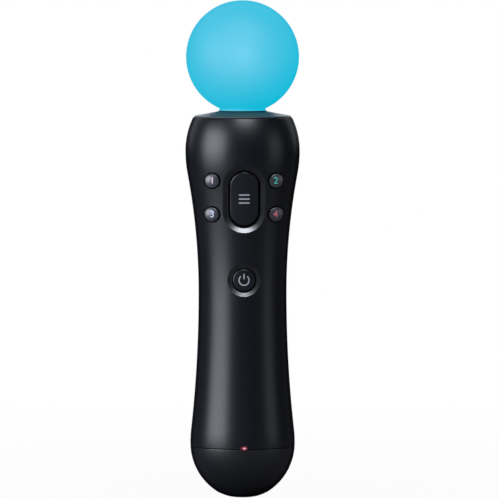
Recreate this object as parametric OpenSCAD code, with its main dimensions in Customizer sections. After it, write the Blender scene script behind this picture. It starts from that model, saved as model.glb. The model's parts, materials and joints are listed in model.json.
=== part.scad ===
// Motion controller wand: a hand-held stick with a soft glowing ball at its head.
// The long axis is Z, the foot is at Z = 0 and the side with the buttons faces -Y. Millimetres.

/* [Casing] */
// Diameter of the flat foot
foot_d = 12; // [9:0.5:14]
// Diameter of the hip, the widest place of the lower end
hip_d = 42.1; // [40:0.1:45]
// Height of the hip
hip_z = 21.8; // [20:0.1:25]
// Radius of the curve that leads up from the hip
hip_round = 52; // [35:1:80]
// Diameter of the waist, the narrowest place of the handle
waist_d = 35.4; // [34.5:0.1:38]
// Height of the waist
waist_z = 82.5; // [79:0.5:86]
// Diameter of the bulge below the rim
bulge_d = 46; // [44.5:0.1:49]
// Height of the bulge
bulge_z = 139.5; // [137:0.5:142]
// Radius of the curve below the bulge
bulge_round = 50; // [35:1:70]
// Diameter of the rim, where the casing ends at the top
rim_d = 39.8; // [38.5:0.1:42]
// Height of the rim
rim_z = 153; // [151:0.5:157]
// Thickness of the casing's wall
wall = 2; // [1.6:0.1:2.4]
// Height of the seam between the casing and the end cap
seam_z = 20.7; // [19:0.1:23]
// Height of the end cap's spigot above the seam
spigot_h = 4; // [3:0.1:5]
// Thickness of the end cap's spigot
spigot_t = 1.2; // [0.8:0.1:1.6]

/* [Glowing ball] */
// Diameter of the ball
ball_d = 45.4; // [42:0.1:48]
// Wall thickness of the ball
ball_wall = 1.8; // [1.2:0.1:2.4]
// Length of the neck that shows between the collar and the ball
neck_show = 1.59; // [0.8:0.01:3]
// Diameter of the ball's neck
neck_d = 18.6; // [17:0.1:20]
// Diameter of the flange that holds the neck
flange_d = 23.6; // [22:0.1:25]
// Thickness of that flange
flange_t = 1.5; // [1:0.1:1.9]
// Rise of the collar's cone from the rim to the neck
collar_rise = 2; // [1.5:0.1:2.6]
// Height of the collar's edge on the rim
collar_edge = 0.3; // [0.2:0.1:0.6]
// Set-back of the collar's edge from the rim
collar_set = 0.4; // [0.2:0.1:0.8]
// Thickness of the lamp base
lamp_t = 2; // [1.5:0.1:2.5]
// Diameter of the lamp board
lamp_board_d = 14.4; // [13:0.1:14.6]
// Side of the lamp itself
lamp_side = 5; // [4:0.5:6]
// Height of the lamp
lamp_h = 1.6; // [1:0.1:2]
// Height of the light guide over the lamp
guide_h = 9; // [6:0.5:12]

/* [Front buttons] */
// Width of the large oval button
oval_w = 11.3; // [10:0.1:12.5]
// Length of the large oval button
oval_l = 21.4; // [20:0.1:23]
// Height of the large oval button
oval_z = 120.9; // [119.5:0.1:122]
// Margin of the dish around the oval button
oval_dish = 2.9; // [2:0.1:3.2]
// Depth of the oval button's dish
dish_depth = 1.1; // [0.7:0.1:1.3]
// Set-back of the oval and home buttons below the casing's surface
button_set = 0.35; // [0.1:0.05:0.6]
// Diameter of the small round buttons
round_d = 5.9; // [5.2:0.1:6.4]
// Distance of the small round buttons from the middle
round_x = 12.7; // [12.4:0.1:13]
// Height of the upper pair of round buttons
round_top_z = 128.1; // [127:0.1:129.5]
// Height of the lower pair of round buttons
round_low_z = 114.6; // [114:0.1:116]
// Rise of the small round buttons above the casing
round_proud = 0.9; // [0.5:0.1:1.2]
// Radius of the small round buttons' domed tops
round_dome = 5.5; // [4.5:0.1:8]
// Diameter of the home button
home_d = 9; // [8:0.1:10]
// Height of the home button
home_z = 88.3; // [87:0.1:90]
// Margin of the dish around the home button
home_dish = 2.1; // [1.5:0.1:2.5]
// Gap between a button and its hole
button_gap = 0.3; // [0.2:0.05:0.4]
// Width of the flange that keeps a button in
button_lip = 0.8; // [0.6:0.1:0.9]
// Thickness of a button's flange
button_lip_t = 0.8; // [0.6:0.1:1]
// Thickness of the pad that stiffens the wall behind a dish
dish_pad = 1.1; // [0.8:0.1:1.3]

/* [Side buttons] */
// Width of a side button
side_w = 4.2; // [3.6:0.1:4.6]
// Length of a side button
side_l = 9; // [8:0.1:10]
// Height of the side buttons
side_z = 104; // [103:0.1:105]
// Distance of the side buttons behind the parting plane
side_y = 4.8; // [4.2:0.1:5.2]
// Rise of a side button above the casing
side_proud = 0.4; // [0.2:0.1:0.6]
// Thickness of a side button's switch
switch_t = 1.6; // [1.2:0.1:1.8]

/* [Trigger] */
// Width of the trigger
trigger_w = 17; // [15:0.5:18]
// Drop of the trigger's top below the rim
trigger_drop = 6; // [5.8:0.1:7]
// Drop of the trigger's pivot below the rim
pivot_drop = 11.5; // [11:0.1:12.5]
// Depth of the pivot below the casing's surface
pivot_depth = 7.8; // [7.2:0.1:8.4]
// Distance from the pivot to the trigger's lower end
trigger_reach = 30.5; // [29:0.1:31]
// Rise of the trigger above the casing at its top
trigger_proud = 0.5; // [0.3:0.1:0.8]
// Further rise of the trigger at its lower end
trigger_flare = 7.5; // [5:0.1:8]
// Wall thickness of the trigger
trigger_wall = 2; // [1.6:0.1:2.4]
// Corner radius of the trigger
trigger_corner = 5; // [3:0.1:6]
// Gap around the trigger
trigger_gap = 0.35; // [0.25:0.05:0.5]
// Diameter of the trigger's pin
pin_d = 2.5; // [2:0.1:2.8]
// Running clearance on the pin's radius
pin_fit = 0.04; // [0.02:0.01:0.08]
// Thickness of the ears that hold the pin
ear_t = 2.2; // [1.8:0.1:2.6]
// Drop of the trigger's plunger below the pivot
plunger_drop = 15.5; // [14:0.1:17]
// Diameter of the trigger's plunger
plunger_d = 3.6; // [3:0.1:4]
// Wire diameter of the trigger's spring
wire_d = 0.7; // [0.5:0.05:0.8]
// Mean diameter of the trigger's spring
spring_d = 7; // [6.6:0.1:7.6]
// Turns of the trigger's spring
spring_turns = 7; // [5:1:9]

/* [Boards and chassis] */
// Distance of the main board's face in front of the axis
board_set = 6.6; // [6.2:0.1:7]
// Thickness of the boards
board_t = 1.2; // [1:0.1:1.6]
// Thickness of the chassis plate
chassis_t = 1.8; // [1.4:0.1:2.2]
// Clearance between the inner pieces and the casing
inner_gap = 0.4; // [0.3:0.05:0.6]
// Thickness of the rubber keypad sheet
keypad_t = 0.8; // [0.6:0.1:1]
// Height of the keypad's domes
dome_h = 1.7; // [1.4:0.1:2]
// Diameter of the keypad's domes
dome_d = 4.8; // [4.2:0.1:5.2]
// Width of the battery
battery_w = 20; // [17:0.5:21]
// Thickness of the battery
battery_t = 10.5; // [8:0.5:11]
// Length of the battery
battery_l = 49; // [44:0.5:50]
// Height of the battery's lower end
battery_z = 36.5; // [36.5:0.5:38]
// Wall thickness of the battery tray
tray_t = 1.2; // [1:0.1:1.4]
// Diameter of the vibration motor
motor_d = 9; // [8:0.1:9.5]
// Length of the vibration motor
motor_l = 12; // [10:0.5:12.5]
// Height of the vibration motor
motor_z = 101; // [100.5:0.1:101.5]
// Width of the off-centre weight
weight_l = 3.6; // [3:0.1:4]
// Radius of the off-centre weight
weight_r = 4; // [3.4:0.1:4.2]

/* [Lower end] */
// Width of the small data socket
data_w = 7.7; // [7.2:0.1:8]
// Depth of the small data socket's mouth, front to back
data_t = 3.9; // [3.6:0.1:4]
// Length of the small data socket
data_l = 9.2; // [8:0.1:10]
// Inner width of the wide accessory socket
ext_w = 12; // [11:0.1:12.6]
// Inner depth of the wide accessory socket, front to back
ext_t = 4.7; // [4.4:0.1:4.8]
// Length of the wide accessory socket
ext_l = 8; // [7:0.1:8.5]
// Wall of the accessory socket
ext_wall = 0.7; // [0.5:0.1:0.9]
// Distance of the charging contacts from the middle
contact_x = 11; // [10.5:0.1:12]
// Diameter of the charging contacts
contact_d = 3.2; // [2.6:0.1:3.6]
// Height of the strap bar
strap_z = 7.5; // [7:0.1:8.2]
// Radius of the pocket around the strap bar
strap_pocket_r = 4; // [3.6:0.1:4.2]
// Width of the pocket around the strap bar
strap_pocket_w = 7; // [6:0.1:8]
// Diameter of the strap bar
strap_bar_d = 1.8; // [1.5:0.1:2]
// Width of the status light
status_w = 3.2; // [2.6:0.1:3.6]
// Height of the status light
status_h = 1.8; // [1.4:0.1:2]

/* [Fasteners] */
// Distance of the casing screws from the middle
screw_x = 9; // [8.6:0.1:9.2]
// Height of the upper casing screws
screw_top_z = 92; // [91.6:0.1:92.4]
// Height of the lower casing screws
screw_low_z = 31; // [30.5:0.1:31.2]
// Diameter of the casing screws
screw_d = 2; // [1.6:0.1:2.2]
// Diameter of the screw heads
head_d = 3.6; // [3.2:0.1:3.8]
// Diameter of the screw bosses
boss_d = 5; // [4.8:0.1:5.2]

/* [Hidden] */
$fn = 96;
tiny = 0.001;
over = 1;
far = 60;

// The casing's outline: arcs that stand upright at the hip, the waist and the bulge
foot_r = foot_d / 2;
hip_r = hip_d / 2;
waist_r = waist_d / 2;
bulge_r = bulge_d / 2;
rim_r = rim_d / 2;
function bow(step, rise) = (step * step + rise * rise) / (2 * step);
dome_round = bow(hip_r - foot_r, hip_z);
grip_sum = bow(hip_r - waist_r, waist_z - hip_z);
grip_turn = asin((waist_z - hip_z) / grip_sum);
grip_round = grip_sum - hip_round;
head_sum = bow(bulge_r - waist_r, bulge_z - waist_z);
head_turn = asin((bulge_z - waist_z) / head_sum);
head_round = head_sum - bulge_round;
crown_round = bow(bulge_r - rim_r, rim_z - bulge_z);
crown_turn = asin((rim_z - bulge_z) / crown_round);

function arc(x, z, r, from, to, n) =
    [for (i = [0:n]) [x + r * cos(from + (to - from) * i / n), z + r * sin(from + (to - from) * i / n)]];
function tail(v) = [for (i = [1:len(v) - 1]) v[i]];
function reversed(v) = [for (i = [len(v) - 1:-1:0]) v[i]];

// Radius and height of the points of the outline, set in from the outer surface by t
function outline(t) = concat(
    arc(hip_r - dome_round, hip_z, dome_round - t, -asin((hip_z - t) / (dome_round - t)), 0, 24),
    tail(arc(hip_r - hip_round, hip_z, hip_round - t, 0, grip_turn, 4)),
    tail(arc(waist_r + grip_round, waist_z, grip_round + t, 180 + grip_turn, 180, 12)),
    tail(arc(waist_r + head_round, waist_z, head_round + t, 180, 180 - head_turn, 12)),
    tail(arc(bulge_r - bulge_round, bulge_z, bulge_round - t, -head_turn, 0, 6)),
    tail(arc(bulge_r - crown_round, bulge_z, crown_round - t, 0, crown_turn, 10)));
function r_at(z, t) = lookup(z, [for (p = outline(t)) [p[1], p[0]]]);
function y_at(x, z, t) = sqrt(pow(r_at(z, t), 2) - x * x);
function side(t, z0, z1) = concat(
    [[r_at(z0, t), z0]],
    [for (p = outline(t)) if (p[1] > z0 + tiny && p[1] < z1 - tiny) p],
    [[r_at(z1, t), z1]]);

// Heights of the pieces in the head
collar_top_z = rim_z + collar_rise;
lamp_top_z = rim_z - flange_t;
lamp_low_z = lamp_top_z - lamp_t;
shelf_t = 1.2;
shelf_w = 1.6;
shelf_z = lamp_low_z - shelf_t;
neck_r = neck_d / 2;
ball_z = collar_top_z + neck_show + sqrt(pow(ball_d / 2, 2) - pow(neck_r, 2));
neck_in = neck_r - ball_wall;
neck_gap = 0.2;
seat_gap = 0.15;
spigot_r = r_at(rim_z, wall) - seat_gap;
lamp_r = r_at(lamp_top_z, wall) - seat_gap;
lamp_screw_r = (flange_d / 2 + spigot_r) / 2;
lamp_screw_d = 1.6;
lamp_head_d = 2.8;
lamp_head_h = 1.1;
lamp_bite = 2;
collar_land = 0.4;
guide_edge = 0.5;
guide_foot_t = 1.4;
guide_wall = 2;
guide_tip_r = 2.4;
guide_room = 0.3;
ribbon_t = 0.3;
ribbon_tail = 3;
lamp_ribbon_w = 4;
slot_gap = 0.3;

// Places of the boards and the chassis
board_y = -board_set;
board_back = board_y + board_t;
chassis_back = board_back + chassis_t;
board_drop = 4;
board_top_z = shelf_z - board_drop;
board_tongue_l = 5.7;
board_tongue_w = 14;
board_low_z = seam_z - board_tongue_l;
chassis_lift = 2.8;
chassis_low_z = seam_z + spigot_h + chassis_lift;
stem_y = board_y - keypad_t - dome_h;
pad_edge = 1;
pad_w = button_gap + button_lip + pad_edge;
seat = 0.15;
keypad_edge = 1.4;
keypad_low_z = round_low_z - dome_d / 2 - keypad_edge;
keypad_top_z = round_top_z + dome_d / 2 + keypad_edge;
dome_taper = 1.8;
round_stem_d = dome_d - dome_taper;
oval_stem_d = 5;
home_stem_d = 4;
lip_gap = 0.2;
round_places = [[-round_x, round_top_z], [round_x, round_top_z], [-round_x, round_low_z],
    [round_x, round_low_z]];
front_places = concat(round_places, [[0, oval_z], [0, home_z]]);
board_screw_x = 7;
board_screw_drop = 4;
board_screw_z = board_top_z - board_screw_drop;
board_screw_d = 1.6;
board_head_d = 3;
board_head_h = 1;
screw_places = [for (x = [-screw_x, screw_x], z = [screw_low_z, screw_top_z]) [x, z]];
head_h = 1.6;
head_sink = 2.6;
screw_bite = 4;
screw_room = 1;
slot_share = 0.6;
slot_depth = 0.8;
slot_t = 0.5;
screw_gap = 0.15;

// Chips on the main board, placed up from the hip and down from the oval button
radio_w = 12;
radio_l = 15;
radio_h = 2.2;
radio_rise = 46.2;
radio_z = hip_z + radio_rise;
processor_side = 9;
processor_h = 1.2;
processor_rise = 28.2;
processor_z = hip_z + processor_rise;
sensor_x = 3.5;
sensor_drop = 19.9;
sensor_z = oval_z - sensor_drop;
sensor_h = 1.1;
turn_sensor_side = 4;
field_sensor_side = 5;
antenna_w = 16;
antenna_l = 8;
antenna_t = 0.5;
antenna_drop = 6;

// Places of the trigger's pieces
pivot_z = rim_z - pivot_drop;
pivot_y = r_at(pivot_z, 0) - pivot_depth;
trigger_top_z = rim_z - trigger_drop;
trigger_low_z = pivot_z - trigger_reach;
trigger_lift = 1.2;
hub_wall = 1.9;
hub_r = pin_d / 2 + hub_wall;
pin_end = trigger_w / 2 + trigger_gap + ear_t;
plunger_z = pivot_z - plunger_drop;
trigger_board_w = 12;
trigger_board_h = 11;
trigger_dome_d = 5.2;
trigger_dome_h = 5;
plunger_set = 5.2;
plunger_y = pivot_y - plunger_set;
trigger_board_y = plunger_y - seat - trigger_dome_h;
trigger_stop = 1.6;
function flare(z) = pow((trigger_top_z - z) / (trigger_top_z - trigger_low_z), 2);
function trigger_r(z) = r_at(z, 0) + trigger_proud + trigger_flare * flare(z);

// Places of the motor
motor_lift = 1.3;
motor_y = chassis_back + motor_d / 2 + motor_lift;
motor_shift = 2;
motor_x0 = -motor_l / 2 - motor_shift;
motor_x1 = motor_x0 + motor_l;
boot_w = 8;
boot_t = 0.9;
boot_set = 1;
boot_x = motor_x0 + boot_set;
boot_r = motor_d / 2 + boot_t;
fence_gap = 0.1;
fence_t = 1.2;
fence_h = 2;
weight_gap = 0.8;
weight_cut = 1.4;
shaft_r = 0.75;
shaft_sink = 3;
shaft_end = motor_x1 + weight_l + 2 * weight_gap;

// Places of the battery
battery_y = chassis_back + battery_t / 2 + seat;
battery_gap = 0.6;
contact_t = battery_gap;
battery_corner = 3;
cell_tab_x = 5;
cell_tab_w = 3;
cell_tab_h = 2.5;
rib_w = 12;
rib_t = 1.4;

// Places of the sockets in the end cap
port_y = data_t / 2;
port_back = port_y + board_t;
port_w = 16;
port_lift = 2.4;
port_low_z = wall + port_lift;
port_drop = 3.4;
port_top_z = seam_z - port_drop;
data_low_z = 0.8;
data_wall = 0.4;
tongue_room = 1.4;
tongue_t = 1;
tongue_set = 1.2;
ext_low_z = port_low_z;
ext_seat = 1;
ext_pins = 9;
ext_pitch = 1.1;
ext_pin_w = 0.6;
ext_pin_t = 0.15;
ext_pin_set = 2;
contact_in = 4;
contact_top_z = port_low_z + contact_in;
port_ribbon_w = 8;
ribbon_rise = 2;
ribbon_bend = 1;
spigot_root = 1.5;
spigot_slope = 2;
ext_y = port_back + ext_wall + ext_t / 2;
port_gap = 0.3;
rail_w = 2.6;
rail_grip = 1;
strap_wall = 1.2;
bar_hold = 1;
bar_cover = 0.8;
bar_y = y_at(strap_pocket_w / 2 + bar_hold, strap_z, 0) - bar_cover - strap_bar_d / 2;
bar_room = 1.4;
strap_y = bar_y - strap_bar_d / 2 - bar_room + strap_pocket_r;
bar_fit = 0.02;
status_rise = 0.5;
status_z = seam_z + status_rise;
status_back = 1.2;
status_fit = 0.08;
switch_set = 2.8;
switch_x = r_at(side_z, wall) - switch_set;
switch_room = 0.7;
switch_w = 4.4;
side_stem_d = 2.4;
wing_t = 1.4;
wing_edge = 0.4;
wing_h = 6;
post_w = 2;
post_h = 6;

// Solids made from the outline
module solid_band(t, z0, z1) {
    rotate_extrude() polygon(concat([[0, z0]], side(t, z0, z1), [[0, z1]]));
}

module wall_band(t0, t1, z0, z1, turn = 360) {
    rotate_extrude(angle = turn) polygon(concat(side(t0, z0, z1), reversed(side(t1, z0, z1))));
}

// A flat shape drawn in X and Z, drawn out along Y from y0 to y1
module along_y(y0, y1) {
    translate([0, y1, 0]) rotate([90, 0, 0]) linear_extrude(y1 - y0) children();
}

// A flat shape drawn in Y and Z, drawn out along X from x0 to x1
module along_x(x0, x1) {
    translate([x0, 0, 0]) rotate([90, 0, 90]) linear_extrude(x1 - x0) children();
}

module rod_y(x, z, d, y0, y1) {
    translate([x, y1, z]) rotate([90, 0, 0]) cylinder(d = d, h = y1 - y0);
}

module rod_x(y, z, d, x0, x1) {
    translate([x0, y, z]) rotate([0, 90, 0]) cylinder(d = d, h = x1 - x0);
}

module block(x0, x1, y0, y1, z0, z1) {
    translate([x0, y0, z0]) cube([x1 - x0, y1 - y0, z1 - z0]);
}

module round_box(w, l, r) {
    corners = [[w / 2 - r, l / 2 - r, 0], [r - w / 2, l / 2 - r, 90], [r - w / 2, r - l / 2, 180],
        [w / 2 - r, r - l / 2, 270]];
    polygon([for (c = corners, p = arc(c[0], c[1], r, c[2], c[2] + 90, 10)) p]);
}

module oval_shape(grow) {
    translate([0, oval_z]) round_box(oval_w + 2 * grow, oval_l + 2 * grow, oval_w / 2 + grow - tiny);
}

module home_shape(grow) {
    translate([0, home_z]) circle(d = home_d + 2 * grow);
}

module round_shape(place, grow) {
    translate(place) circle(d = round_d + 2 * grow);
}

module side_shape(grow) {
    translate([side_y, side_z]) round_box(side_w + 2 * grow, side_l + 2 * grow, side_w / 2 + grow - tiny);
}

module trigger_shape(grow, low) {
    high = trigger_top_z + grow;
    translate([0, (high + low) / 2]) round_box(trigger_w + 2 * grow, high - low, trigger_corner + grow);
}

// Halves of the casing
module half_casing() {
    wall_band(0, wall, seam_z, rim_z, 180);
    wall_band(wall - tiny, wall + shelf_w, shelf_z, lamp_low_z, 180);
}

module dish(t, z0, z1) {
    difference() {
        along_y(-far, -waist_r / 2) children();
        solid_band(t, z0, z1);
    }
}

module dish_pads() {
    z0 = home_z - home_d;
    z1 = oval_z + oval_l;
    intersection() {
        union() {
            along_y(-far, 0) oval_shape(pad_w);
            along_y(-far, 0) home_shape(pad_w);
        }
        wall_band(wall / 2, wall + dish_pad, z0, z1);
    }
}

module front_posts() {
    intersection() {
        union() {
            for (p = screw_places) rod_y(p[0], p[1], boss_d, -far, board_y);
            for (x = [-board_screw_x, board_screw_x])
                rod_y(x, board_screw_z, boss_d, -far, board_y);
        }
        solid_band(wall / 2, seam_z, rim_z);
    }
}

module front_shell() {
    color("#1c1d20") difference() {
        union() {
            rotate([0, 0, 180]) half_casing();
            dish_pads();
            front_posts();
        }
        dish(dish_depth, oval_z - oval_l, oval_z + oval_l) oval_shape(oval_dish);
        dish(dish_depth, home_z - home_d, home_z + home_d) home_shape(home_dish);
        along_y(-far, board_y - keypad_t) oval_shape(button_gap);
        along_y(-far, board_y - keypad_t) home_shape(button_gap);
        for (p = round_places) along_y(-far, board_y - keypad_t) round_shape(p, button_gap);
        for (p = screw_places) rod_y(p[0], p[1], screw_d, board_y - screw_bite - screw_room, 0);
        for (x = [-board_screw_x, board_screw_x])
            rod_y(x, board_screw_z, board_screw_d, board_y - screw_bite, 0);
        status_pipe(status_fit);
    }
}

module rear_posts() {
    intersection() {
        for (p = screw_places) rod_y(p[0], p[1], boss_d, chassis_back, far);
        solid_band(wall / 2, seam_z, rim_z);
    }
}

module trigger_ears() {
    inside = trigger_w / 2 + trigger_gap;
    intersection() {
        for (x = [-inside - ear_t, inside])
            block(x, x + ear_t, pivot_y - hub_r, far, pivot_z - hub_r, pivot_z + hub_r);
        solid_band(wall / 2, seam_z, rim_z);
    }
}

module battery_ribs() {
    intersection() {
        for (share = [0.3, 0.7])
            translate([0, 0, battery_z + battery_l * share])
                block(-rib_w / 2, rib_w / 2, battery_y + battery_t / 2 + seat, far, -rib_t / 2, rib_t / 2);
        solid_band(wall / 2, seam_z, rim_z);
    }
}

module rear_shell() {
    color("#1c1d20") difference() {
        union() {
            half_casing();
            rear_posts();
            trigger_ears();
            battery_ribs();
        }
        intersection() {
            along_y(pivot_y - 2 * hub_r, far) trigger_shape(trigger_gap, trigger_low_z - far);
            rod_x(pivot_y, pivot_z, 2 * (trigger_reach + trigger_gap), -far, far);
        }
        rod_x(pivot_y, pivot_z, pin_d, -pin_end, pin_end);
        for (p = screw_places) {
            seat_y = y_at(p[0], p[1], 0) - head_sink;
            rod_y(p[0], p[1], head_d + 2 * screw_gap, seat_y, far);
            rod_y(p[0], p[1], screw_d + 2 * screw_gap, chassis_back - over, far);
        }
        for (m = [0, 1]) mirror([m, 0, 0]) along_x(switch_x, far) side_shape(button_gap);
    }
}

module status_pipe(grow) {
    along_y(-far, board_y - status_back - grow)
        translate([0, status_z])
            round_box(status_w + 2 * grow, status_h + 2 * grow, status_h / 2 + grow - tiny);
}

module status_lens() {
    color("#c8203a") intersection() {
        status_pipe(0);
        solid_band(-seat, status_z - status_h, status_z + status_h);
    }
}

// The end cap, with its sockets
module cap_bowl() {
    rotate_extrude()
        polygon(concat([[0, 0]], side(0, 0, seam_z), reversed(side(wall, wall, seam_z)), [[0, wall]]));
}

module cap_spigot() {
    out = min(r_at(seam_z, wall), r_at(seam_z + spigot_h, wall));
    rotate_extrude() polygon([[out - seat_gap, seam_z + spigot_h], [out - seat_gap, seam_z],
        [out + wall / 2, seam_z], [out + wall / 2, seam_z - spigot_root],
        [out - seat_gap - spigot_t, seam_z - spigot_root - spigot_slope],
        [out - seat_gap - spigot_t, seam_z + spigot_h]]);
}

module cap_rails() {
    intersection() {
        difference() {
            for (m = [0, 1]) mirror([m, 0, 0])
                block(port_w / 2 - rail_grip, far, port_y - rail_w / 2, port_back + rail_w / 2,
                    0, port_top_z);
            block(-port_w / 2 - seat, port_w / 2 + seat, port_y - seat / 2, port_back + seat / 2,
                port_low_z, far);
        }
        solid_band(wall / 2, wall / 2, seam_z);
    }
}

module strap_liner(grow, w) {
    rod_x(strap_y, strap_z, 2 * (strap_pocket_r + grow), -w / 2 - grow, w / 2 + grow);
}

module strap_rod(grow, length) {
    rod_x(bar_y, strap_z, strap_bar_d + 2 * grow, -length / 2, length / 2);
}

module end_cap() {
    color("#1c1d20") difference() {
        union() {
            cap_bowl();
            cap_spigot();
            cap_rails();
            intersection() {
                strap_liner(strap_wall, strap_pocket_w);
                solid_band(wall / 2, 0, seam_z);
            }
        }
        strap_liner(0, strap_pocket_w);
        strap_rod(bar_fit, strap_pocket_w + 2 * bar_hold);
        block(-data_w / 2 - port_gap, data_w / 2 + port_gap, -data_t / 2 - port_gap, data_t / 2 + port_gap,
            -over, port_low_z);
        block(-ext_w / 2 - port_gap, ext_w / 2 + port_gap, ext_y - ext_t / 2 - port_gap,
            ext_y + ext_t / 2 + port_gap, -over, ext_low_z + ext_seat);
        block(-ext_w / 2 - ext_wall - seat, ext_w / 2 + ext_wall + seat, port_back - seat,
            ext_y + ext_t / 2 + ext_wall + seat, ext_low_z, far);
        for (x = [-contact_x, contact_x])
            translate([x, 0, -over]) cylinder(d = contact_d + seat, h = contact_top_z + 2 * over);
        status_pipe(status_fit);
    }
}

module port_board() {
    color("#1f5a36") block(-port_w / 2, port_w / 2, port_y, port_back, port_low_z, port_top_z);
}

module port_ribbon() {
    t = ribbon_t;
    low = port_top_z - ribbon_tail;
    bend = port_top_z - ribbon_bend;
    high = port_top_z + ribbon_rise;
    color("#b8762c") along_x(-port_ribbon_w / 2, port_ribbon_w / 2) polygon([[port_y - t, low], [port_y, low],
        [port_y, bend], [board_back + t, high], [board_back + t, high + ribbon_tail],
        [board_back, high + ribbon_tail], [board_back, high], [port_y - t, bend - t]]);
}

module data_socket() {
    color("#b9bcc0") difference() {
        block(-data_w / 2, data_w / 2, -data_t / 2, data_t / 2, data_low_z, data_low_z + data_l);
        block(data_wall - data_w / 2, data_w / 2 - data_wall, data_wall - data_t / 2, data_t / 2 - data_wall,
            -over, data_low_z + data_l - data_wall);
    }
}

module data_tongue() {
    w = data_w - 2 * tongue_room;
    color("#22242a") block(-w / 2, w / 2, -tongue_t / 2, tongue_t / 2, data_low_z + tongue_set,
        data_low_z + data_l - data_wall);
}

module ext_socket() {
    high = ext_low_z + ext_seat + ext_l;
    color("#26272b") difference() {
        block(-ext_w / 2 - ext_wall, ext_w / 2 + ext_wall, port_back, ext_y + ext_t / 2 + ext_wall,
            ext_low_z + ext_seat, high);
        block(-ext_w / 2, ext_w / 2, ext_y - ext_t / 2, ext_y + ext_t / 2, 0, high - ext_wall);
    }
}

module ext_contacts() {
    back = ext_y - ext_t / 2;
    color("#c9a24b") for (i = [0:ext_pins - 1])
        translate([(i - (ext_pins - 1) / 2) * ext_pitch, 0, 0])
            block(-ext_pin_w / 2, ext_pin_w / 2, back, back + ext_pin_t,
                ext_low_z + ext_pin_set, ext_low_z + ext_l);
}

module charge_contacts() {
    color("#c9a24b") for (x = [-contact_x, contact_x]) intersection() {
        translate([x, 0, 0]) cylinder(d = contact_d, h = contact_top_z);
        solid_band(0, 0, seam_z);
    }
}

module strap_bar() {
    color("#8d9095") strap_rod(0, strap_pocket_w + 2 * bar_hold - 2 * bar_fit);
}

// The head
module collar() {
    hole = neck_r + neck_gap;
    color("#202226") difference() {
        rotate_extrude() polygon([[hole, rim_z], [hole, collar_top_z], [hole + collar_land, collar_top_z],
            [rim_r - collar_set, rim_z + collar_edge], [rim_r - collar_set, rim_z], [spigot_r, rim_z],
            [spigot_r, lamp_top_z], [flange_d / 2 + seat_gap, lamp_top_z], [flange_d / 2 + seat_gap, rim_z]]);
        lamp_screw_holes(lamp_screw_d, lamp_top_z - over, lamp_top_z + lamp_bite);
    }
}

module light_ball() {
    color("#37c2e6") difference() {
        union() {
            translate([0, 0, ball_z]) sphere(d = ball_d);
            translate([0, 0, lamp_top_z]) cylinder(r = neck_r, h = ball_z - lamp_top_z);
            translate([0, 0, lamp_top_z]) cylinder(d = flange_d, h = flange_t);
        }
        translate([0, 0, ball_z]) sphere(d = ball_d - 2 * ball_wall);
        translate([0, 0, lamp_top_z - over]) cylinder(r = neck_in, h = ball_z - lamp_top_z);
    }
}

module lamp_screw_holes(d, z0, z1) {
    for (a = [30:120:270]) rotate([0, 0, a]) translate([lamp_screw_r, 0, z0]) cylinder(d = d, h = z1 - z0);
}

module lamp_base() {
    slot_w = lamp_ribbon_w + 2 * slot_gap;
    color("#c9cccf") difference() {
        translate([0, 0, lamp_low_z]) cylinder(r = lamp_r, h = lamp_t);
        lamp_screw_holes(lamp_screw_d + 2 * screw_gap, lamp_low_z - over, lamp_top_z + over);
        block(-slot_w / 2, slot_w / 2, board_y - ribbon_t - slot_gap, board_y + slot_gap, lamp_low_z - over,
            lamp_top_z + over);
    }
}

module lamp_board() {
    color("#e9e9e4") translate([0, 0, lamp_top_z]) cylinder(d = lamp_board_d, h = board_t);
}

module lamp() {
    color("#f4f2c8") translate([-lamp_side / 2, -lamp_side / 2, lamp_top_z + board_t])
        cube([lamp_side, lamp_side, lamp_h]);
}

module light_guide() {
    low = lamp_top_z + board_t;
    bowl = lamp_side / sqrt(2) + guide_room;
    color("#dfeef2") difference() {
        union() {
            translate([0, 0, low]) cylinder(d = lamp_board_d - 2 * guide_edge, h = guide_foot_t);
            translate([0, 0, low]) cylinder(r1 = bowl + guide_wall, r2 = guide_tip_r, h = guide_h);
        }
        translate([0, 0, low - over]) cylinder(r = bowl, h = over + lamp_h + guide_room);
    }
}

module lamp_screws() {
    color("#55585c") {
        lamp_screw_holes(lamp_screw_d - 2 * seat, lamp_low_z - tiny, lamp_top_z + lamp_bite - seat);
        lamp_screw_holes(lamp_head_d, lamp_low_z - lamp_head_h, lamp_low_z);
    }
}

module lamp_ribbon() {
    color("#b8762c") block(-lamp_ribbon_w / 2, lamp_ribbon_w / 2, board_y - ribbon_t, board_y,
        board_top_z - ribbon_tail, lamp_top_z);
}

// The front buttons: a cap that follows the casing, a flange behind the wall and a stem
module front_button(x, z, reach, top, stem_d) {
    z0 = z - reach;
    z1 = z + reach;
    lip = wall + dish_pad + seat;
    intersection() {
        along_y(-far, 0) children(0);
        wall_band(top, lip + button_lip_t, z0, z1);
    }
    intersection() {
        along_y(-far, 0) children(1);
        wall_band(lip, lip + button_lip_t, z0, z1);
    }
    intersection() {
        rod_y(x, z, stem_d, -far, stem_y - seat);
        solid_band(lip, z0, z1);
    }
}

module oval_button() {
    color("#25262a") front_button(0, oval_z, oval_l, button_set, oval_stem_d) {
        oval_shape(0);
        oval_shape(button_gap + button_lip);
    }
}

module home_button() {
    color("#25262a") front_button(0, home_z, home_d, button_set, home_stem_d) {
        home_shape(0);
        home_shape(button_gap + button_lip);
    }
}

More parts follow.
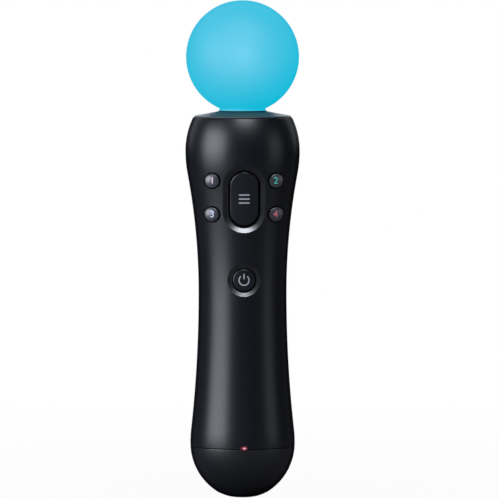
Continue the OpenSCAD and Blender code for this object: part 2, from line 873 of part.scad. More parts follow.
module round_button(i) {
    p = round_places[i];
    r = r_at(p[1], 0);
    y = -y_at(p[0], p[1], 0);
    sink = (round_proud - round_dome) / r;
    lip = wall + seat + lip_gap;
    z0 = p[1] - round_d;
    z1 = p[1] + round_d;
    intersection() {
        along_y(-far, stem_y - seat) round_shape(p, 0);
        translate([p[0] * (1 + sink), y * (1 + sink), p[1]]) sphere(r = round_dome);
        wall_band(-2 * round_proud, lip + button_lip_t, z0, z1);
    }
    intersection() {
        along_y(-far, stem_y - seat) round_shape(p, button_gap + button_lip);
        wall_band(lip, lip + button_lip_t, z0, z1);
    }
    intersection() {
        rod_y(p[0], p[1], round_stem_d, -far, stem_y - seat);
        solid_band(lip, z0, z1);
    }
}

module round_button_1() { color("#4a4b52") round_button(0); }
module round_button_2() { color("#4a4b52") round_button(1); }
module round_button_3() { color("#4a4b52") round_button(2); }
module round_button_4() { color("#4a4b52") round_button(3); }

// The side buttons and their switches
module side_button() {
    z0 = side_z - side_l;
    z1 = side_z + side_l;
    lip = wall + seat + lip_gap;
    intersection() {
        along_x(0, far) side_shape(0);
        wall_band(-side_proud, lip + button_lip_t, z0, z1);
    }
    intersection() {
        along_x(0, far) side_shape(button_gap + button_lip);
        wall_band(lip, lip + button_lip_t, z0, z1);
    }
    intersection() {
        rod_x(side_y, side_z, side_stem_d, switch_x + seat, far);
        solid_band(lip, z0, z1);
    }
}

module right_button() { color("#25262a") side_button(); }
module left_button() { color("#25262a") mirror([1, 0, 0]) side_button(); }

module side_switches() {
    color("#3a3c40") for (m = [0, 1]) mirror([m, 0, 0])
        block(switch_x - switch_t, switch_x - switch_room, side_y - switch_w / 2, side_y + switch_w / 2,
            side_z - switch_w / 2, side_z + switch_w / 2);
}

// The trigger: a hollow paddle that turns on a pin between two ears
module trigger_form(inner_r, radii, inset, low) {
    intersection() {
        rotate_extrude(angle = 180) polygon(concat(
            [[inner_r, radii[0][1]]],
            [for (p = radii) [p[0] - inset, p[1]]],
            [[inner_r, trigger_top_z]]));
        along_y(0, far) trigger_shape(-inset, low + inset);
        rod_x(pivot_y, pivot_z, 2 * (trigger_reach - inset), -far, far);
    }
}

// The paddle outside the casing has round lower corners, and the skirt inside has square ones
module trigger_walls() {
    steps = 14;
    low = trigger_low_z - over;
    heights = [for (i = [0:steps]) low + (trigger_top_z - low) * i / steps];
    paddle = [for (z = heights) [trigger_r(z), z]];
    skirt = [for (z = heights) [r_at(z, trigger_gap), z]];
    difference() {
        union() {
            trigger_form(pivot_y, paddle, 0, trigger_low_z + trigger_lift);
            trigger_form(pivot_y, skirt, 0, trigger_low_z - far);
        }
        trigger_form(over, paddle, trigger_wall, trigger_low_z + trigger_lift);
    }
}

module trigger() {
    hub_in = spring_d / 2;
    half = trigger_w / 2;
    color("#202125") difference() {
        union() {
            trigger_walls();
            for (x = [-half, hub_in]) rod_x(pivot_y, pivot_z, 2 * hub_r, x, x + half - hub_in);
            rod_y(0, plunger_z, plunger_d, plunger_y, trigger_r(plunger_z) - trigger_wall / 2);
            intersection() {
                block(-half / 2, half / 2, pivot_y, far,
                    trigger_low_z - trigger_stop, trigger_low_z + trigger_wall);
                solid_band(wall + inner_gap, trigger_low_z - far / 2, rim_z);
            }
        }
        rod_x(pivot_y, pivot_z, pin_d + 2 * pin_fit, -far, far);
    }
}

module trigger_pin() {
    color("#9b9ea3") rod_x(pivot_y, pivot_z, pin_d - 2 * bar_fit, -pin_end, pin_end);
}

// A coil spring along Y, one unbroken tube of round wire
module coil(x, z, y0, y1, mean_d, d, turns) {
    per = 8;
    sides = 6;
    n = per * turns;
    rise = y1 - y0 - d;
    function centre(i) = [x + mean_d / 2 * cos(360 * i / per), y0 + d / 2 + rise * i / n,
        z + mean_d / 2 * sin(360 * i / per)];
    function ring(i) = [for (k = [0:sides - 1])
        centre(i) + d / 2 * (cos(360 * k / sides) * [cos(360 * i / per), 0, sin(360 * i / per)]
            + sin(360 * k / sides) * [0, 1, 0])];
    points = [for (i = [0:n], p = ring(i)) p];
    walls = [for (i = [0:n - 1], k = [0:sides - 1]) let (a = i * sides + k, b = i * sides + (k + 1) % sides)
        each [[a, a + sides, b], [b, a + sides, b + sides]]];
    ends = [for (k = [1:sides - 2]) each [[0, k, k + 1], [n * sides, n * sides + k + 1, n * sides + k]]];
    polyhedron(points, concat(walls, ends));
}

module trigger_spring() {
    room = y_at(spring_d / 2 + wire_d, plunger_z, 0) + trigger_proud + trigger_flare * flare(plunger_z)
        - trigger_wall;
    color("#a9acb0")
        coil(0, plunger_z, trigger_board_y + seat, room - 3 * seat, spring_d, wire_d, spring_turns);
}

module trigger_board() {
    color("#1f5a36") block(-trigger_board_w / 2, trigger_board_w / 2,
        trigger_board_y - board_t, trigger_board_y,
        plunger_z - trigger_board_h / 2, plunger_z + trigger_board_h / 2);
}

module trigger_dome() {
    color("#8a8d92") translate([0, trigger_board_y, plunger_z]) rotate([-90, 0, 0])
        cylinder(d1 = trigger_dome_d, d2 = plunger_d, h = trigger_dome_h);
}

// Boards, chassis, battery and motor
module inside_plate(y0, y1, z0, z1) {
    intersection() {
        block(-far, far, y0, y1, z0, z1);
        solid_band(wall + inner_gap, z0, z1);
    }
}

module through_holes(d, small_d) {
    for (p = screw_places) rod_y(p[0], p[1], d, -far, far);
    for (x = [-board_screw_x, board_screw_x]) rod_y(x, board_screw_z, small_d, -far, far);
}

module main_board() {
    color("#1f5a36") difference() {
        union() {
            inside_plate(board_y, board_back, chassis_low_z, board_top_z);
            block(-board_tongue_w / 2, board_tongue_w / 2, board_y, board_back,
                board_low_z, chassis_low_z + over);
        }
        through_holes(screw_d + 2 * screw_gap, board_screw_d + 2 * screw_gap);
    }
}

module on_board(x, z, w, l, h) {
    block(x - w / 2, x + w / 2, board_y - h, board_y, z - l / 2, z + l / 2);
}

module radio_shield() { color("#c2c5c8") on_board(0, radio_z, radio_w, radio_l, radio_h); }
module processor() { color("#17181b") on_board(0, processor_z, processor_side, processor_side, processor_h); }

module motion_sensors() {
    color("#17181b") {
        on_board(-sensor_x, sensor_z, turn_sensor_side, turn_sensor_side, sensor_h);
        on_board(sensor_x, sensor_z, field_sensor_side, field_sensor_side, sensor_h);
    }
}

module keypad() {
    color("#8a8d92") {
        intersection() {
            block(-far, far, board_y - keypad_t, board_y, keypad_low_z, keypad_top_z);
            solid_band(wall + inner_gap, keypad_low_z, keypad_top_z);
        }
        rod_y(0, home_z, dome_d + 2 * keypad_edge, board_y - keypad_t, board_y);
        for (p = front_places)
            translate([p[0], board_y - keypad_t + tiny, p[1]]) rotate([90, 0, 0])
                cylinder(d1 = dome_d, d2 = dome_d - dome_taper, h = dome_h + tiny);
    }
}

module chassis_bodywork() {
    tray_w = battery_w / 2 + battery_gap / 2;
    low = battery_z - battery_gap / 2;
    high = battery_z + battery_l + battery_gap;
    side_in = switch_x - switch_t - wing_t;
    inside_plate(board_back, chassis_back, chassis_low_z, board_top_z);
    difference() {
        block(-tray_w - tray_t, tray_w + tray_t, chassis_back - tiny, battery_y, low - tray_t, high + tray_t);
        block(-tray_w, tray_w, chassis_back, far, low, high);
    }
    for (m = [0, 1]) mirror([m, 0, 0])
        block(side_in, side_in + wing_t, chassis_back - tiny, side_y + switch_w / 2 + wing_edge,
            side_z - wing_h / 2, side_z + wing_h / 2);
    for (x = [-trigger_board_w / 2, trigger_board_w / 2 - post_w])
        block(x, x + post_w, chassis_back - tiny, trigger_board_y - board_t, plunger_z - post_h / 2,
            plunger_z + post_h / 2);
    for (z = [motor_z - boot_r - fence_gap - fence_t, motor_z + boot_r + fence_gap])
        block(boot_x, boot_x + boot_w, chassis_back - tiny, chassis_back + fence_h, z, z + fence_t);
}

module chassis() {
    color("#3b3d42") difference() {
        chassis_bodywork();
        through_holes(screw_d + 2 * screw_gap, board_screw_d + 2 * screw_gap);
    }
}

module antenna() {
    high = board_top_z - antenna_drop;
    color("#b9bcc0") block(-antenna_w / 2, antenna_w / 2, chassis_back, chassis_back + antenna_t,
        high - antenna_l, high);
}

module battery() {
    color("#3d5c8f") intersection() {
        block(-battery_w / 2, battery_w / 2, battery_y - battery_t / 2, battery_y + battery_t / 2,
            battery_z, battery_z + battery_l);
        along_z_box(battery_w, battery_t, battery_corner, battery_y);
    }
}

module along_z_box(w, t, r, y) {
    translate([0, y, battery_z - over]) linear_extrude(battery_l + 2 * over) round_box(w, t, r);
}

module battery_contacts() {
    color("#c9a24b") for (x = [-cell_tab_x, cell_tab_x])
        block(x - cell_tab_w / 2, x + cell_tab_w / 2, battery_y - cell_tab_h, battery_y - seat,
            battery_z + battery_l, battery_z + battery_l + contact_t);
}

module motor() {
    color("#b4b7bb") difference() {
        rod_x(motor_y, motor_z, motor_d, motor_x0, motor_x1);
        rod_x(motor_y, motor_z, 2 * shaft_r + 2 * pin_fit, motor_x1 - shaft_sink, motor_x1 + over);
    }
}

module motor_boot() {
    color("#2b2c30") difference() {
        block(boot_x, boot_x + boot_w, chassis_back, motor_y + boot_r, motor_z - boot_r, motor_z + boot_r);
        rod_x(motor_y, motor_z, motor_d + 2 * bar_fit, motor_x0, motor_x1);
    }
}

module motor_shaft() {
    color("#9b9ea3") rod_x(motor_y, motor_z, 2 * shaft_r, motor_x1 - shaft_sink + seat, shaft_end);
}

module motor_weight() {
    x0 = motor_x1 + weight_gap;
    color("#8d9095") difference() {
        rod_x(motor_y, motor_z, 2 * weight_r, x0, x0 + weight_l);
        block(x0 - over, x0 + weight_l + over, motor_y - far, motor_y - weight_cut,
            motor_z - far, motor_z + far);
        rod_x(motor_y, motor_z, 2 * shaft_r + 2 * bar_fit, x0 - over, x0 + weight_l + over);
    }
}

// Fasteners
module case_screw(p) {
    seat_y = y_at(p[0], p[1], 0) - head_sink;
    difference() {
        union() {
            rod_y(p[0], p[1], head_d, seat_y, seat_y + head_h);
            rod_y(p[0], p[1], screw_d - 2 * bar_fit, board_y - screw_bite, seat_y + tiny);
        }
        for (a = [0, 90]) translate([p[0], seat_y + head_h, p[1]]) rotate([0, a, 0])
            cube([head_d * slot_share, 2 * slot_depth, slot_t], center = true);
    }
}

module case_screws() { color("#55585c") for (p = screw_places) case_screw(p); }

module board_screws() {
    color("#55585c") for (x = [-board_screw_x, board_screw_x]) {
        rod_y(x, board_screw_z, board_screw_d - 2 * bar_fit,
            board_y - screw_bite + screw_room, chassis_back + tiny);
        rod_y(x, board_screw_z, board_head_d, chassis_back, chassis_back + board_head_h);
    }
}

front_shell();
rear_shell();
end_cap();
collar();
light_ball();
lamp_base();
lamp_board();
lamp();
light_guide();
lamp_screws();
lamp_ribbon();
oval_button();
round_button_1();
round_button_2();
round_button_3();
round_button_4();
home_button();
left_button();
right_button();
side_switches();
trigger();
trigger_pin();
trigger_spring();
trigger_board();
trigger_dome();
main_board();
radio_shield();
processor();
motion_sensors();
keypad();
chassis();
antenna();
battery();
battery_contacts();
motor();
motor_boot();
motor_shaft();
motor_weight();
port_board();
port_ribbon();
data_socket();
data_tongue();
ext_socket();
ext_contacts();
charge_contacts();
strap_bar();
status_lens();
case_screws();
board_screws();
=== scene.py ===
import json
import math

import bmesh
import bpy
from mathutils import Matrix, Vector


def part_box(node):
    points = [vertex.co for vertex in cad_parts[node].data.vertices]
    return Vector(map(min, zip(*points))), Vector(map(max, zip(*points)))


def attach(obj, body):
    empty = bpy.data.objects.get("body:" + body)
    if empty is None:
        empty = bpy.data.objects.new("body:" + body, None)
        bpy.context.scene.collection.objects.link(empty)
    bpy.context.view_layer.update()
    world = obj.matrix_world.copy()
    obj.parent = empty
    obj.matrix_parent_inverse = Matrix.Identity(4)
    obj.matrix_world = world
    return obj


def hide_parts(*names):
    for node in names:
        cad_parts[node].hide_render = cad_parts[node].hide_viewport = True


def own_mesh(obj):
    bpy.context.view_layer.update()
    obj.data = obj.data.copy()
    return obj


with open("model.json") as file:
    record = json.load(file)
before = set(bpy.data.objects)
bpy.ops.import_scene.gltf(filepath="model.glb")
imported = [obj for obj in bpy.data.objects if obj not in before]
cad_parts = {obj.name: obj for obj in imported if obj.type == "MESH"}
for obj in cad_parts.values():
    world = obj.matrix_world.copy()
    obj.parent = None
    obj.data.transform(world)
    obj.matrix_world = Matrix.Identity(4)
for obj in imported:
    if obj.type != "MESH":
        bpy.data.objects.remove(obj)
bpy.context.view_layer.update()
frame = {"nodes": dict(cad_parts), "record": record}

# Sizes are in millimetres and are turned to metres where a mesh is made
MM = 0.001
# Points within this many metres of each other are one
WELD = 1e-7

# Casing outline: arcs that stand upright at the hip, the waist and the bulge
FOOT_R = 6.0
HIP_R = 21.05
HIP_Z = 21.8
HIP_ROUND = 52.0
WAIST_R = 17.7
WAIST_Z = 82.5
BULGE_R = 22.985
BULGE_Z = 139.5
BULGE_ROUND = 50.0
RIM_R = 19.9
RIM_Z = 153.0
RIM_ROUND = 0.7
WALL = 2.0
SEAM_Z = 20.7
SEAM_GAP = 0.2
EDGE_ROUND = 0.16
EDGE_BREAK = 0.3 * EDGE_ROUND
# A narrow ring next to the seam's edge keeps the wall's shading from bending there
EDGE_NEXT = 0.08
PARTING_EDGE = 0.15

# Cutting bars start and end at these distances from the axis, or pass right through
CUT_NEAR = 8.0
CUT_FAR = 40.0
THROUGH = 60.0
# Play around a pin or a contact
FIT_GAP = 0.05
# Angles in degrees above which an edge is shaded sharp
CASING_CREASE = 35.0
DISH_CREASE = 22.0
BALL_CREASE = 30.0
KEY_CREASE = 40.0

# Head
BALL_R = 22.7
BALL_Z = 177.296
BALL_WALL = 1.8
NECK_R = 9.3
FLANGE_R = 11.8
FLANGE_T = 1.5
FLANGE_GAP = 0.02
COLLAR_R = 19.5
COLLAR_HOLE = 9.45
COLLAR_LIP = 155.7
COLLAR_TOP = 155.45
COLLAR_ROUND = 0.6
COLLAR_ROUND_FROM = 82.0
COLLAR_GAP = 0.06
COLLAR_BREAK = 0.05
COLLAR_STEP = 2.0
COLLAR_BELOW = 1.0
LIP_T = 0.35
LIP_FOOT_T = 0.15

# Front buttons
OVAL = {"z": 120.9, "wide": 11.3, "long": 21.4, "gap": 0.8, "bend": 26.0, "set": 0.45}
OVAL_DISH = {"margin": 2.9, "slope": 1.9, "depth": 1.15}
HOME = {"z": 88.3, "wide": 9.0, "long": 9.0, "gap": 0.45, "bend": 24.0, "set": 0.45}
HOME_DISH = {"margin": 2.1, "slope": 1.5, "depth": 0.675}
KEY_RIM = 0.45
KEY_DEEP = 3.4
KEY_FLANGE_W = 1.3
KEY_FLANGE_T = 0.8
ROUND_D = 5.9
ROUND_GAP = 0.42
ROUND_PLACES = [(-12.7, 128.1), (12.7, 128.1), (-12.7, 114.6), (12.7, 114.6)]
ROUND_PROUD = 0.9
ROUND_DOME = 6.8
ROUND_DEEP = 3.4
ROUND_RIM = 0.6

# Marks on the buttons
INK_PROUD = 0.04
INK_SUNK = 0.05
FIGURE_SIZE = 3.8
FIGURE_HALF_W = 1.5
FIGURE_HALF_H = 1.8
BARS = {"wide": 0.6, "long": 4.4, "pitch": 1.6}
POWER = {"ring": 2.0, "stroke": 0.5, "mouth": 80.0, "bar": 2.2, "lift": 1.5}

# Side buttons
SIDE = {"y": 4.8, "z": 104.0, "wide": 4.2, "long": 9.0}
SIDE_PROUD = 0.2
SIDE_GAP = 0.3
SIDE_DEEP = 3.5

# Trigger
TRIGGER_W = 17.0
TRIGGER_GAP = 0.35
TRIGGER_TOP = 147.0
TRIGGER_REACH = 30.5
TRIGGER_LIFT = 1.2
TRIGGER_CORNER = 5.0
TRIGGER_PROUD = 0.5
TRIGGER_FLARE = 7.5
TRIGGER_RIM = 1.8
TRIGGER_WALL = 2.0
# The skirt lies a hair inside the paddle, so that no faces of the two lie on each other
SKIRT_INSET = 0.03
HUB_R = 3.5
HOLLOW_CORNER = 2.0
HOLLOW_PAST = 4.0
SPRING_WIRE = 0.7
SPRING_TURNS = 7
SPRING_STEPS = 24
PIVOT = Vector((0.0, 15.127, 141.5))
TRIGGER_LOW = PIVOT.z - TRIGGER_REACH
PADDLE_LOW = TRIGGER_LOW + TRIGGER_LIFT

# Lower end
FOOT_FLAT = 3.0
FOOT_SWELL = 0.3
FOOT_HIGH = 2.2
SPIGOT_GAP = 0.15
SPIGOT_T = 1.2
SPIGOT_HIGH = 4.0
BOWL_LIFT = 1.2
POCKET_R = 4.0
POCKET_W = 7.0
POCKET_WALL = 1.2
# The strap pocket's axis lies this far behind its bar
POCKET_BACK = 1.7
LINER_INSET = 1.0
SOCKET_GAP = 0.3
SOCKET_WALL = 0.7
SOCKET_CUT = (-5.0, 8.0)
CONTACT_CUT = 20.0
STATUS_GAP = 0.1
STATUS_RIM = 0.15
SCREW_PLACES = [(x, z) for x in (-9.0, 9.0) for z in (31.0, 92.0)]
SCREW_WELL = 3.9

# Camera, from the photograph's frame of 498 pixels at 2.488 pixels a millimetre
PHOTO_PX = 498
PX_PER_MM = 2.488
CAMERA_FAR = 2190.0
CAMERA_HIGH = 210.0
CAMERA_TURN = -2.0
AIM_X = 2.59
AIM_Z = 99.96
SENSOR_MM = 36.0
# How far the camera sees, in metres
CLIP_FAR = 200.0

# Lamps: azimuth and elevation in degrees, width and height in metres, watts
SOFTBOX_FAR = 1.0
SOFTBOXES = {
    "left_softbox": (-63.0, 12.0, 0.88, 0.62, 17.5),
    "right_softbox": (68.0, 8.0, 0.45, 0.5, 1.2),
    "top_softbox": (6.0, 56.5, 0.5, 0.45, 10.2),
    "back_left_softbox": (-140.0, 20.0, 0.6, 0.6, 1.6),
    "back_right_softbox": (145.0, 20.0, 0.6, 0.6, 1.6),
    "back_softbox": (180.0, 32.0, 0.9, 0.4, 5.0),
}
# The softboxes are a little cooler than white, which gives the black plastic its bluish sheen
DAYLIGHT = "#f2f6ff"
# The spot is so many metres away, and is aimed and spread by millimetres
SPOT = {"azimuth": -1.0, "elevation": 1.0, "far": 1.5, "watts": 190.0, "above": 6.0, "margin": 3.0}
SPOT_SOFT = 0.01
SPOT_BLEND = 0.3
ROOM_LEVEL = 0.07

# Floor: its size and the reach of the shadow are in metres
FLOOR_SIZE = 60.0
FLOOR_DROP = 0.02
PAPER = "#747474"
SHADOW_REACH = (0.04, 0.5)
SHADOW_WHITE = 0.96


def bow(step, rise):
    """Radius of an arc that is upright at one end and has moved by step after that rise."""
    return (step * step + rise * rise) / (2 * step)


DOME = bow(HIP_R - FOOT_R, HIP_Z)
GRIP_SUM = bow(HIP_R - WAIST_R, WAIST_Z - HIP_Z)
GRIP = GRIP_SUM - HIP_ROUND
HEAD_SUM = bow(BULGE_R - WAIST_R, BULGE_Z - WAIST_Z)
HEAD = HEAD_SUM - BULGE_ROUND
CROWN = bow(BULGE_R - RIM_R, RIM_Z - BULGE_Z)
HIP_TOP = HIP_Z + HIP_ROUND * (WAIST_Z - HIP_Z) / GRIP_SUM
BULGE_LOW = BULGE_Z - BULGE_ROUND * (BULGE_Z - WAIST_Z) / HEAD_SUM
# Each arc's upper end, the radius and height of its centre, its radius, and 1 where it bows outwards
ARCS = [
    (HIP_Z, HIP_R - DOME, HIP_Z, DOME, 1),
    (HIP_TOP, HIP_R - HIP_ROUND, HIP_Z, HIP_ROUND, 1),
    (WAIST_Z, WAIST_R + GRIP, WAIST_Z, GRIP, -1),
    (BULGE_LOW, WAIST_R + HEAD, WAIST_Z, HEAD, -1),
    (BULGE_Z, BULGE_R - BULGE_ROUND, BULGE_Z, BULGE_ROUND, 1),
    (RIM_Z, BULGE_R - CROWN, BULGE_Z, CROWN, 1),
]


def casing_r(z):
    """Outer radius of the casing at a height."""
    _, across, high, bend, way = next((row for row in ARCS if z <= row[0]), ARCS[-1])
    return across + way * math.sqrt(bend * bend - (z - high) ** 2)


def casing_face(x, z):
    """Where the casing's front lies along Y."""
    return -math.sqrt(casing_r(z) ** 2 - x * x)


def spread(low, high, step):
    """Evenly spaced numbers from low to high, about step apart."""
    count = max(1, round((high - low) / step))
    return [low + (high - low) * i / count for i in range(count + 1)]


def arc(centre, bend, first, last, step):
    """Points of (radius, height) along an arc from one angle to another."""
    r, z = centre
    return [(r + bend * math.cos(a), z + bend * math.sin(a)) for a in spread(first, last, step)]


def in_mm(corners):
    """A CAD node's lower and upper corner in millimetres."""
    return [corner / MM for corner in corners]


# Mesh helpers

def lathe(bm, profile, steps, degrees=360.0, first=0.0):
    """Spins a closed (radius, height) section about the axis, and closes the ends if the turn isn't full."""
    full = degrees == 360.0
    turn = Matrix.Rotation(math.radians(first), 4, "Z")
    ring = [bm.verts.new(turn @ Vector((r, 0.0, z)) * MM) for r, z in profile]
    start = ring + [bm.edges.new(pair) for pair in zip(ring, ring[1:] + ring[:1])]
    end = bmesh.ops.spin(bm, geom=start, cent=(0, 0, 0), axis=(0, 0, 1), angle=math.radians(degrees),
                         steps=steps, use_merge=full)["geom_last"]
    if not full:
        for section in (start, end):
            bmesh.ops.contextual_create(bm, geom=[g for g in section if isinstance(g, bmesh.types.BMEdge)])
    bmesh.ops.remove_doubles(bm, verts=bm.verts, dist=WELD)
    bmesh.ops.recalc_face_normals(bm, faces=bm.faces)


def new_object(name, bm):
    mesh = bpy.data.meshes.new(name)
    bm.to_mesh(mesh)
    bm.free()
    obj = bpy.data.objects.new(name, mesh)
    bpy.context.scene.collection.objects.link(obj)
    return obj


def combine(obj, operation, *tools):
    """Cuts tools out of an object, adds them to it or keeps what they share, and deletes them."""
    for tool in tools:
        step = obj.modifiers.new("combine", "BOOLEAN")
        step.operation = operation
        step.solver = "EXACT"
        step.object = tool
    made = bpy.data.meshes.new_from_object(obj.evaluated_get(bpy.context.evaluated_depsgraph_get()))
    obj.modifiers.clear()
    obj.data = made
    for tool in tools:
        bpy.data.objects.remove(tool)


def smooth(obj, crease=CASING_CREASE):
    obj.data.shade_smooth()
    obj.data.set_sharp_from_angle(angle=math.radians(crease))


def upright(x, z):
    """Stands what lies flat around the origin up in the XZ plane, around a place."""
    return Matrix.Translation(Vector((x, 0, z)) * MM) @ Matrix.Rotation(math.pi / 2, 4, "X")


def lengthways(z):
    """Turns what stands in the XZ plane around the origin to lie along X, at a height."""
    return Matrix.Translation((0, 0, z * MM)) @ Matrix.Rotation(math.pi / 2, 4, "Y")


def stadium(bm, wide, long, centre=(0.0, 0.0), segments=64):
    """A flat face with round ends in the XZ plane, longer along Z."""
    half_step = Matrix.Rotation(math.pi / segments, 4, "Z")
    made = bmesh.ops.create_circle(bm, cap_ends=True, segments=segments, radius=wide / 2 * MM,
                                   matrix=upright(0, 0) @ half_step)["verts"]
    for way in (1, -1):
        half = [v for v in made if v.co.z * way > 0]
        bmesh.ops.translate(bm, verts=half, vec=(0, 0, (long - wide) / 2 * way * MM))
    bmesh.ops.translate(bm, verts=made, vec=Vector((centre[0], 0, centre[1])) * MM)


def plate(bm, wide, long, corner, centre, all_round=True):
    """A flat face in the XZ plane with all its corners rounded, or the upper two."""
    size = Matrix.Diagonal((wide * MM, long * MM, 1.0, 1.0))
    made = bmesh.ops.create_grid(bm, x_segments=1, y_segments=1, size=0.5,
                                 matrix=upright(*centre) @ size)["verts"]
    if corner:
        made = [v for v in made if all_round or v.co.z > centre[1] * MM]
        bmesh.ops.bevel(bm, geom=made, offset=corner * MM, offset_type="OFFSET", segments=8, profile=0.5,
                        affect="VERTICES", material=-1)


def slice_faces(bm, across, up=()):
    """Cuts flat faces in the XZ plane along lines, so that they can be curved."""
    for axis, lines in ((Vector((1, 0, 0)), across), (Vector((0, 0, 1)), up)):
        for line in lines:
            bmesh.ops.bisect_plane(bm, geom=bm.verts[:] + bm.edges[:] + bm.faces[:], dist=WELD,
                                   plane_co=axis * line * MM, plane_no=axis)


def crown(bm, top, back, rim=0.0, shape=None):
    """Curves flat faces to y = top(x, z), draws their edge back to y = back(x, z) and rounds the rim."""
    border = [e for e in bm.edges if e.is_boundary]
    drawn = bmesh.ops.extrude_edge_only(bm, edges=border)["geom"]
    behind = {g for g in drawn if isinstance(g, bmesh.types.BMVert)}
    bmesh.ops.holes_fill(bm, edges=[e for e in bm.edges if e.is_boundary], sides=0)
    for v in bm.verts:
        v.co.y = (back if v in behind else top)(v.co.x / MM, v.co.z / MM) * MM
    if shape:
        for v in bm.verts:
            v.co = shape(v.co / MM) * MM
    bmesh.ops.recalc_face_normals(bm, faces=bm.faces)
    if rim:
        bmesh.ops.bevel(bm, geom=border, offset=rim * MM, offset_type="OFFSET", segments=3, profile=0.5,
                        affect="EDGES", material=-1, clamp_overlap=True)


def draw(bm, wide, long, centre, face, steps, ring=False, segments=96):
    """Draws a round-ended outline to its middle, or as a ring, in steps of (inward, deep) from a face."""
    straight = (long - wide) / 2
    middle = Vector((centre[0], 0.0, centre[1]))
    stadium(bm, wide, long, centre, segments)
    bmesh.ops.delete(bm, geom=bm.faces[:], context="FACES_ONLY")
    sides = [e for e in bm.edges if e.calc_length() > 1.5 * MM]
    if sides:
        bmesh.ops.subdivide_edges(bm, edges=sides, cuts=round(2 * straight))
    # Each point keeps its place on the outline, and so do the points that are drawn from it
    outline = bm.verts.layers.float_vector.new("outline")
    for v in bm.verts:
        v[outline] = v.co
    first = loop = bm.edges[:]
    for number, (inward, deep) in enumerate(steps):
        if number:
            made = bmesh.ops.extrude_edge_only(bm, edges=loop)["geom"]
            loop = [g for g in made if isinstance(g, bmesh.types.BMEdge)]
        for v in {v for e in loop for v in e.verts}:
            start = v[outline] / MM
            spine = middle + Vector((0.0, 0.0, max(-straight, min(straight, start.z - middle.z))))
            spot = spine + (start - spine) * (1 - 2 * inward / wide)
            v.co = Vector((spot.x, face(spot.x, spot.z) + deep, spot.z)) * MM
    bm.verts.layers.float_vector.remove(outline)
    if ring:
        bmesh.ops.bridge_loops(bm, edges=first + loop)
    else:
        bmesh.ops.contextual_create(bm, geom=first)
    bmesh.ops.remove_doubles(bm, verts=bm.verts, dist=WELD)
    bmesh.ops.recalc_face_normals(bm, faces=bm.faces)


def bar(bm, y0, y1):
    """Draws flat faces out to closed bars along Y."""
    crown(bm, lambda x, z: y0, lambda x, z: y1)


def prism(wide, long, centre, y0, y1, segments=64):
    """A closed bar with round ends along Y, to cut with."""
    bm = bmesh.new()
    stadium(bm, wide, long, centre, segments)
    bar(bm, y0, y1)
    return new_object("tool", bm)


def block(low, high):
    """A plain box between two corners, to cut with."""
    low, high = Vector(low) * MM, Vector(high) * MM
    size = Matrix.Diagonal((*(high - low), 1.0))
    bm = bmesh.new()
    bmesh.ops.create_cube(bm, size=1.0, matrix=Matrix.Translation((low + high) / 2) @ size)
    return new_object("tool", bm)


def rod(radius, length, centre, along_x=False, segments=96):
    """A round bar along X or Z, to cut with."""
    turn = Matrix.Rotation(math.pi / 2, 4, "Y") if along_x else Matrix.Identity(4)
    bm = bmesh.new()
    bmesh.ops.create_cone(bm, cap_ends=True, segments=segments, radius1=radius * MM, radius2=radius * MM,
                          depth=length * MM, matrix=Matrix.Translation(Vector(centre) * MM) @ turn)
    return new_object("tool", bm)


def piece(obj, body, slot, material, *nodes):
    """Gives an object its finish and lets it ride on a body in place of the CAD nodes."""
    obj.data.materials.clear()
    obj.data.materials.append(material)
    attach(obj, body)
    if nodes:
        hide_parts(*nodes)


# Material helpers

def colour(code):
    """Linear colour from an sRGB hex value."""
    parts = [int(code[i:i + 2], 16) / 255 for i in (1, 3, 5)]
    return (*(c / 12.92 if c <= 0.04045 else ((c + 0.055) / 1.055) ** 2.4 for c in parts), 1.0)


def add(tree, kind, inputs=(), **settings):
    """Adds a node, sets it, and fills its sockets with values or links."""
    node = tree.nodes.new(kind)
    for name, value in settings.items():
        setattr(node, name, value)
    for name, value in dict(inputs).items():
        if isinstance(value, bpy.types.NodeSocket):
            tree.links.new(value, node.inputs[name])
        else:
            node.inputs[name].default_value = value
    return node


def surface(name, **sockets):
    """A material with one surface shader, whose constant sockets are given by name."""
    material = bpy.data.materials.new(name)
    material.use_nodes = True
    tree = material.node_tree
    tree.nodes.clear()
    shader = add(tree, "ShaderNodeBsdfPrincipled", {k.replace("_", " "): v for k, v in sockets.items()})
    add(tree, "ShaderNodeOutputMaterial", {"Surface": shader.outputs["BSDF"]})
    place = add(tree, "ShaderNodeTexCoord").outputs["Object"]
    return material, tree, shader, place


def of_type(material, kind):
    """The first node of a kind in a finish."""
    return next(node for node in material.node_tree.nodes if node.type == kind)


def per_metre(size):
    """Texture scale that makes a pattern that many millimetres across."""
    return 1.0 / (size * MM)


# Size of the patches in which a moulding's tone drifts, and depth of its grain
DRIFT = 18.0
GRAIN_DEEP = 0.05


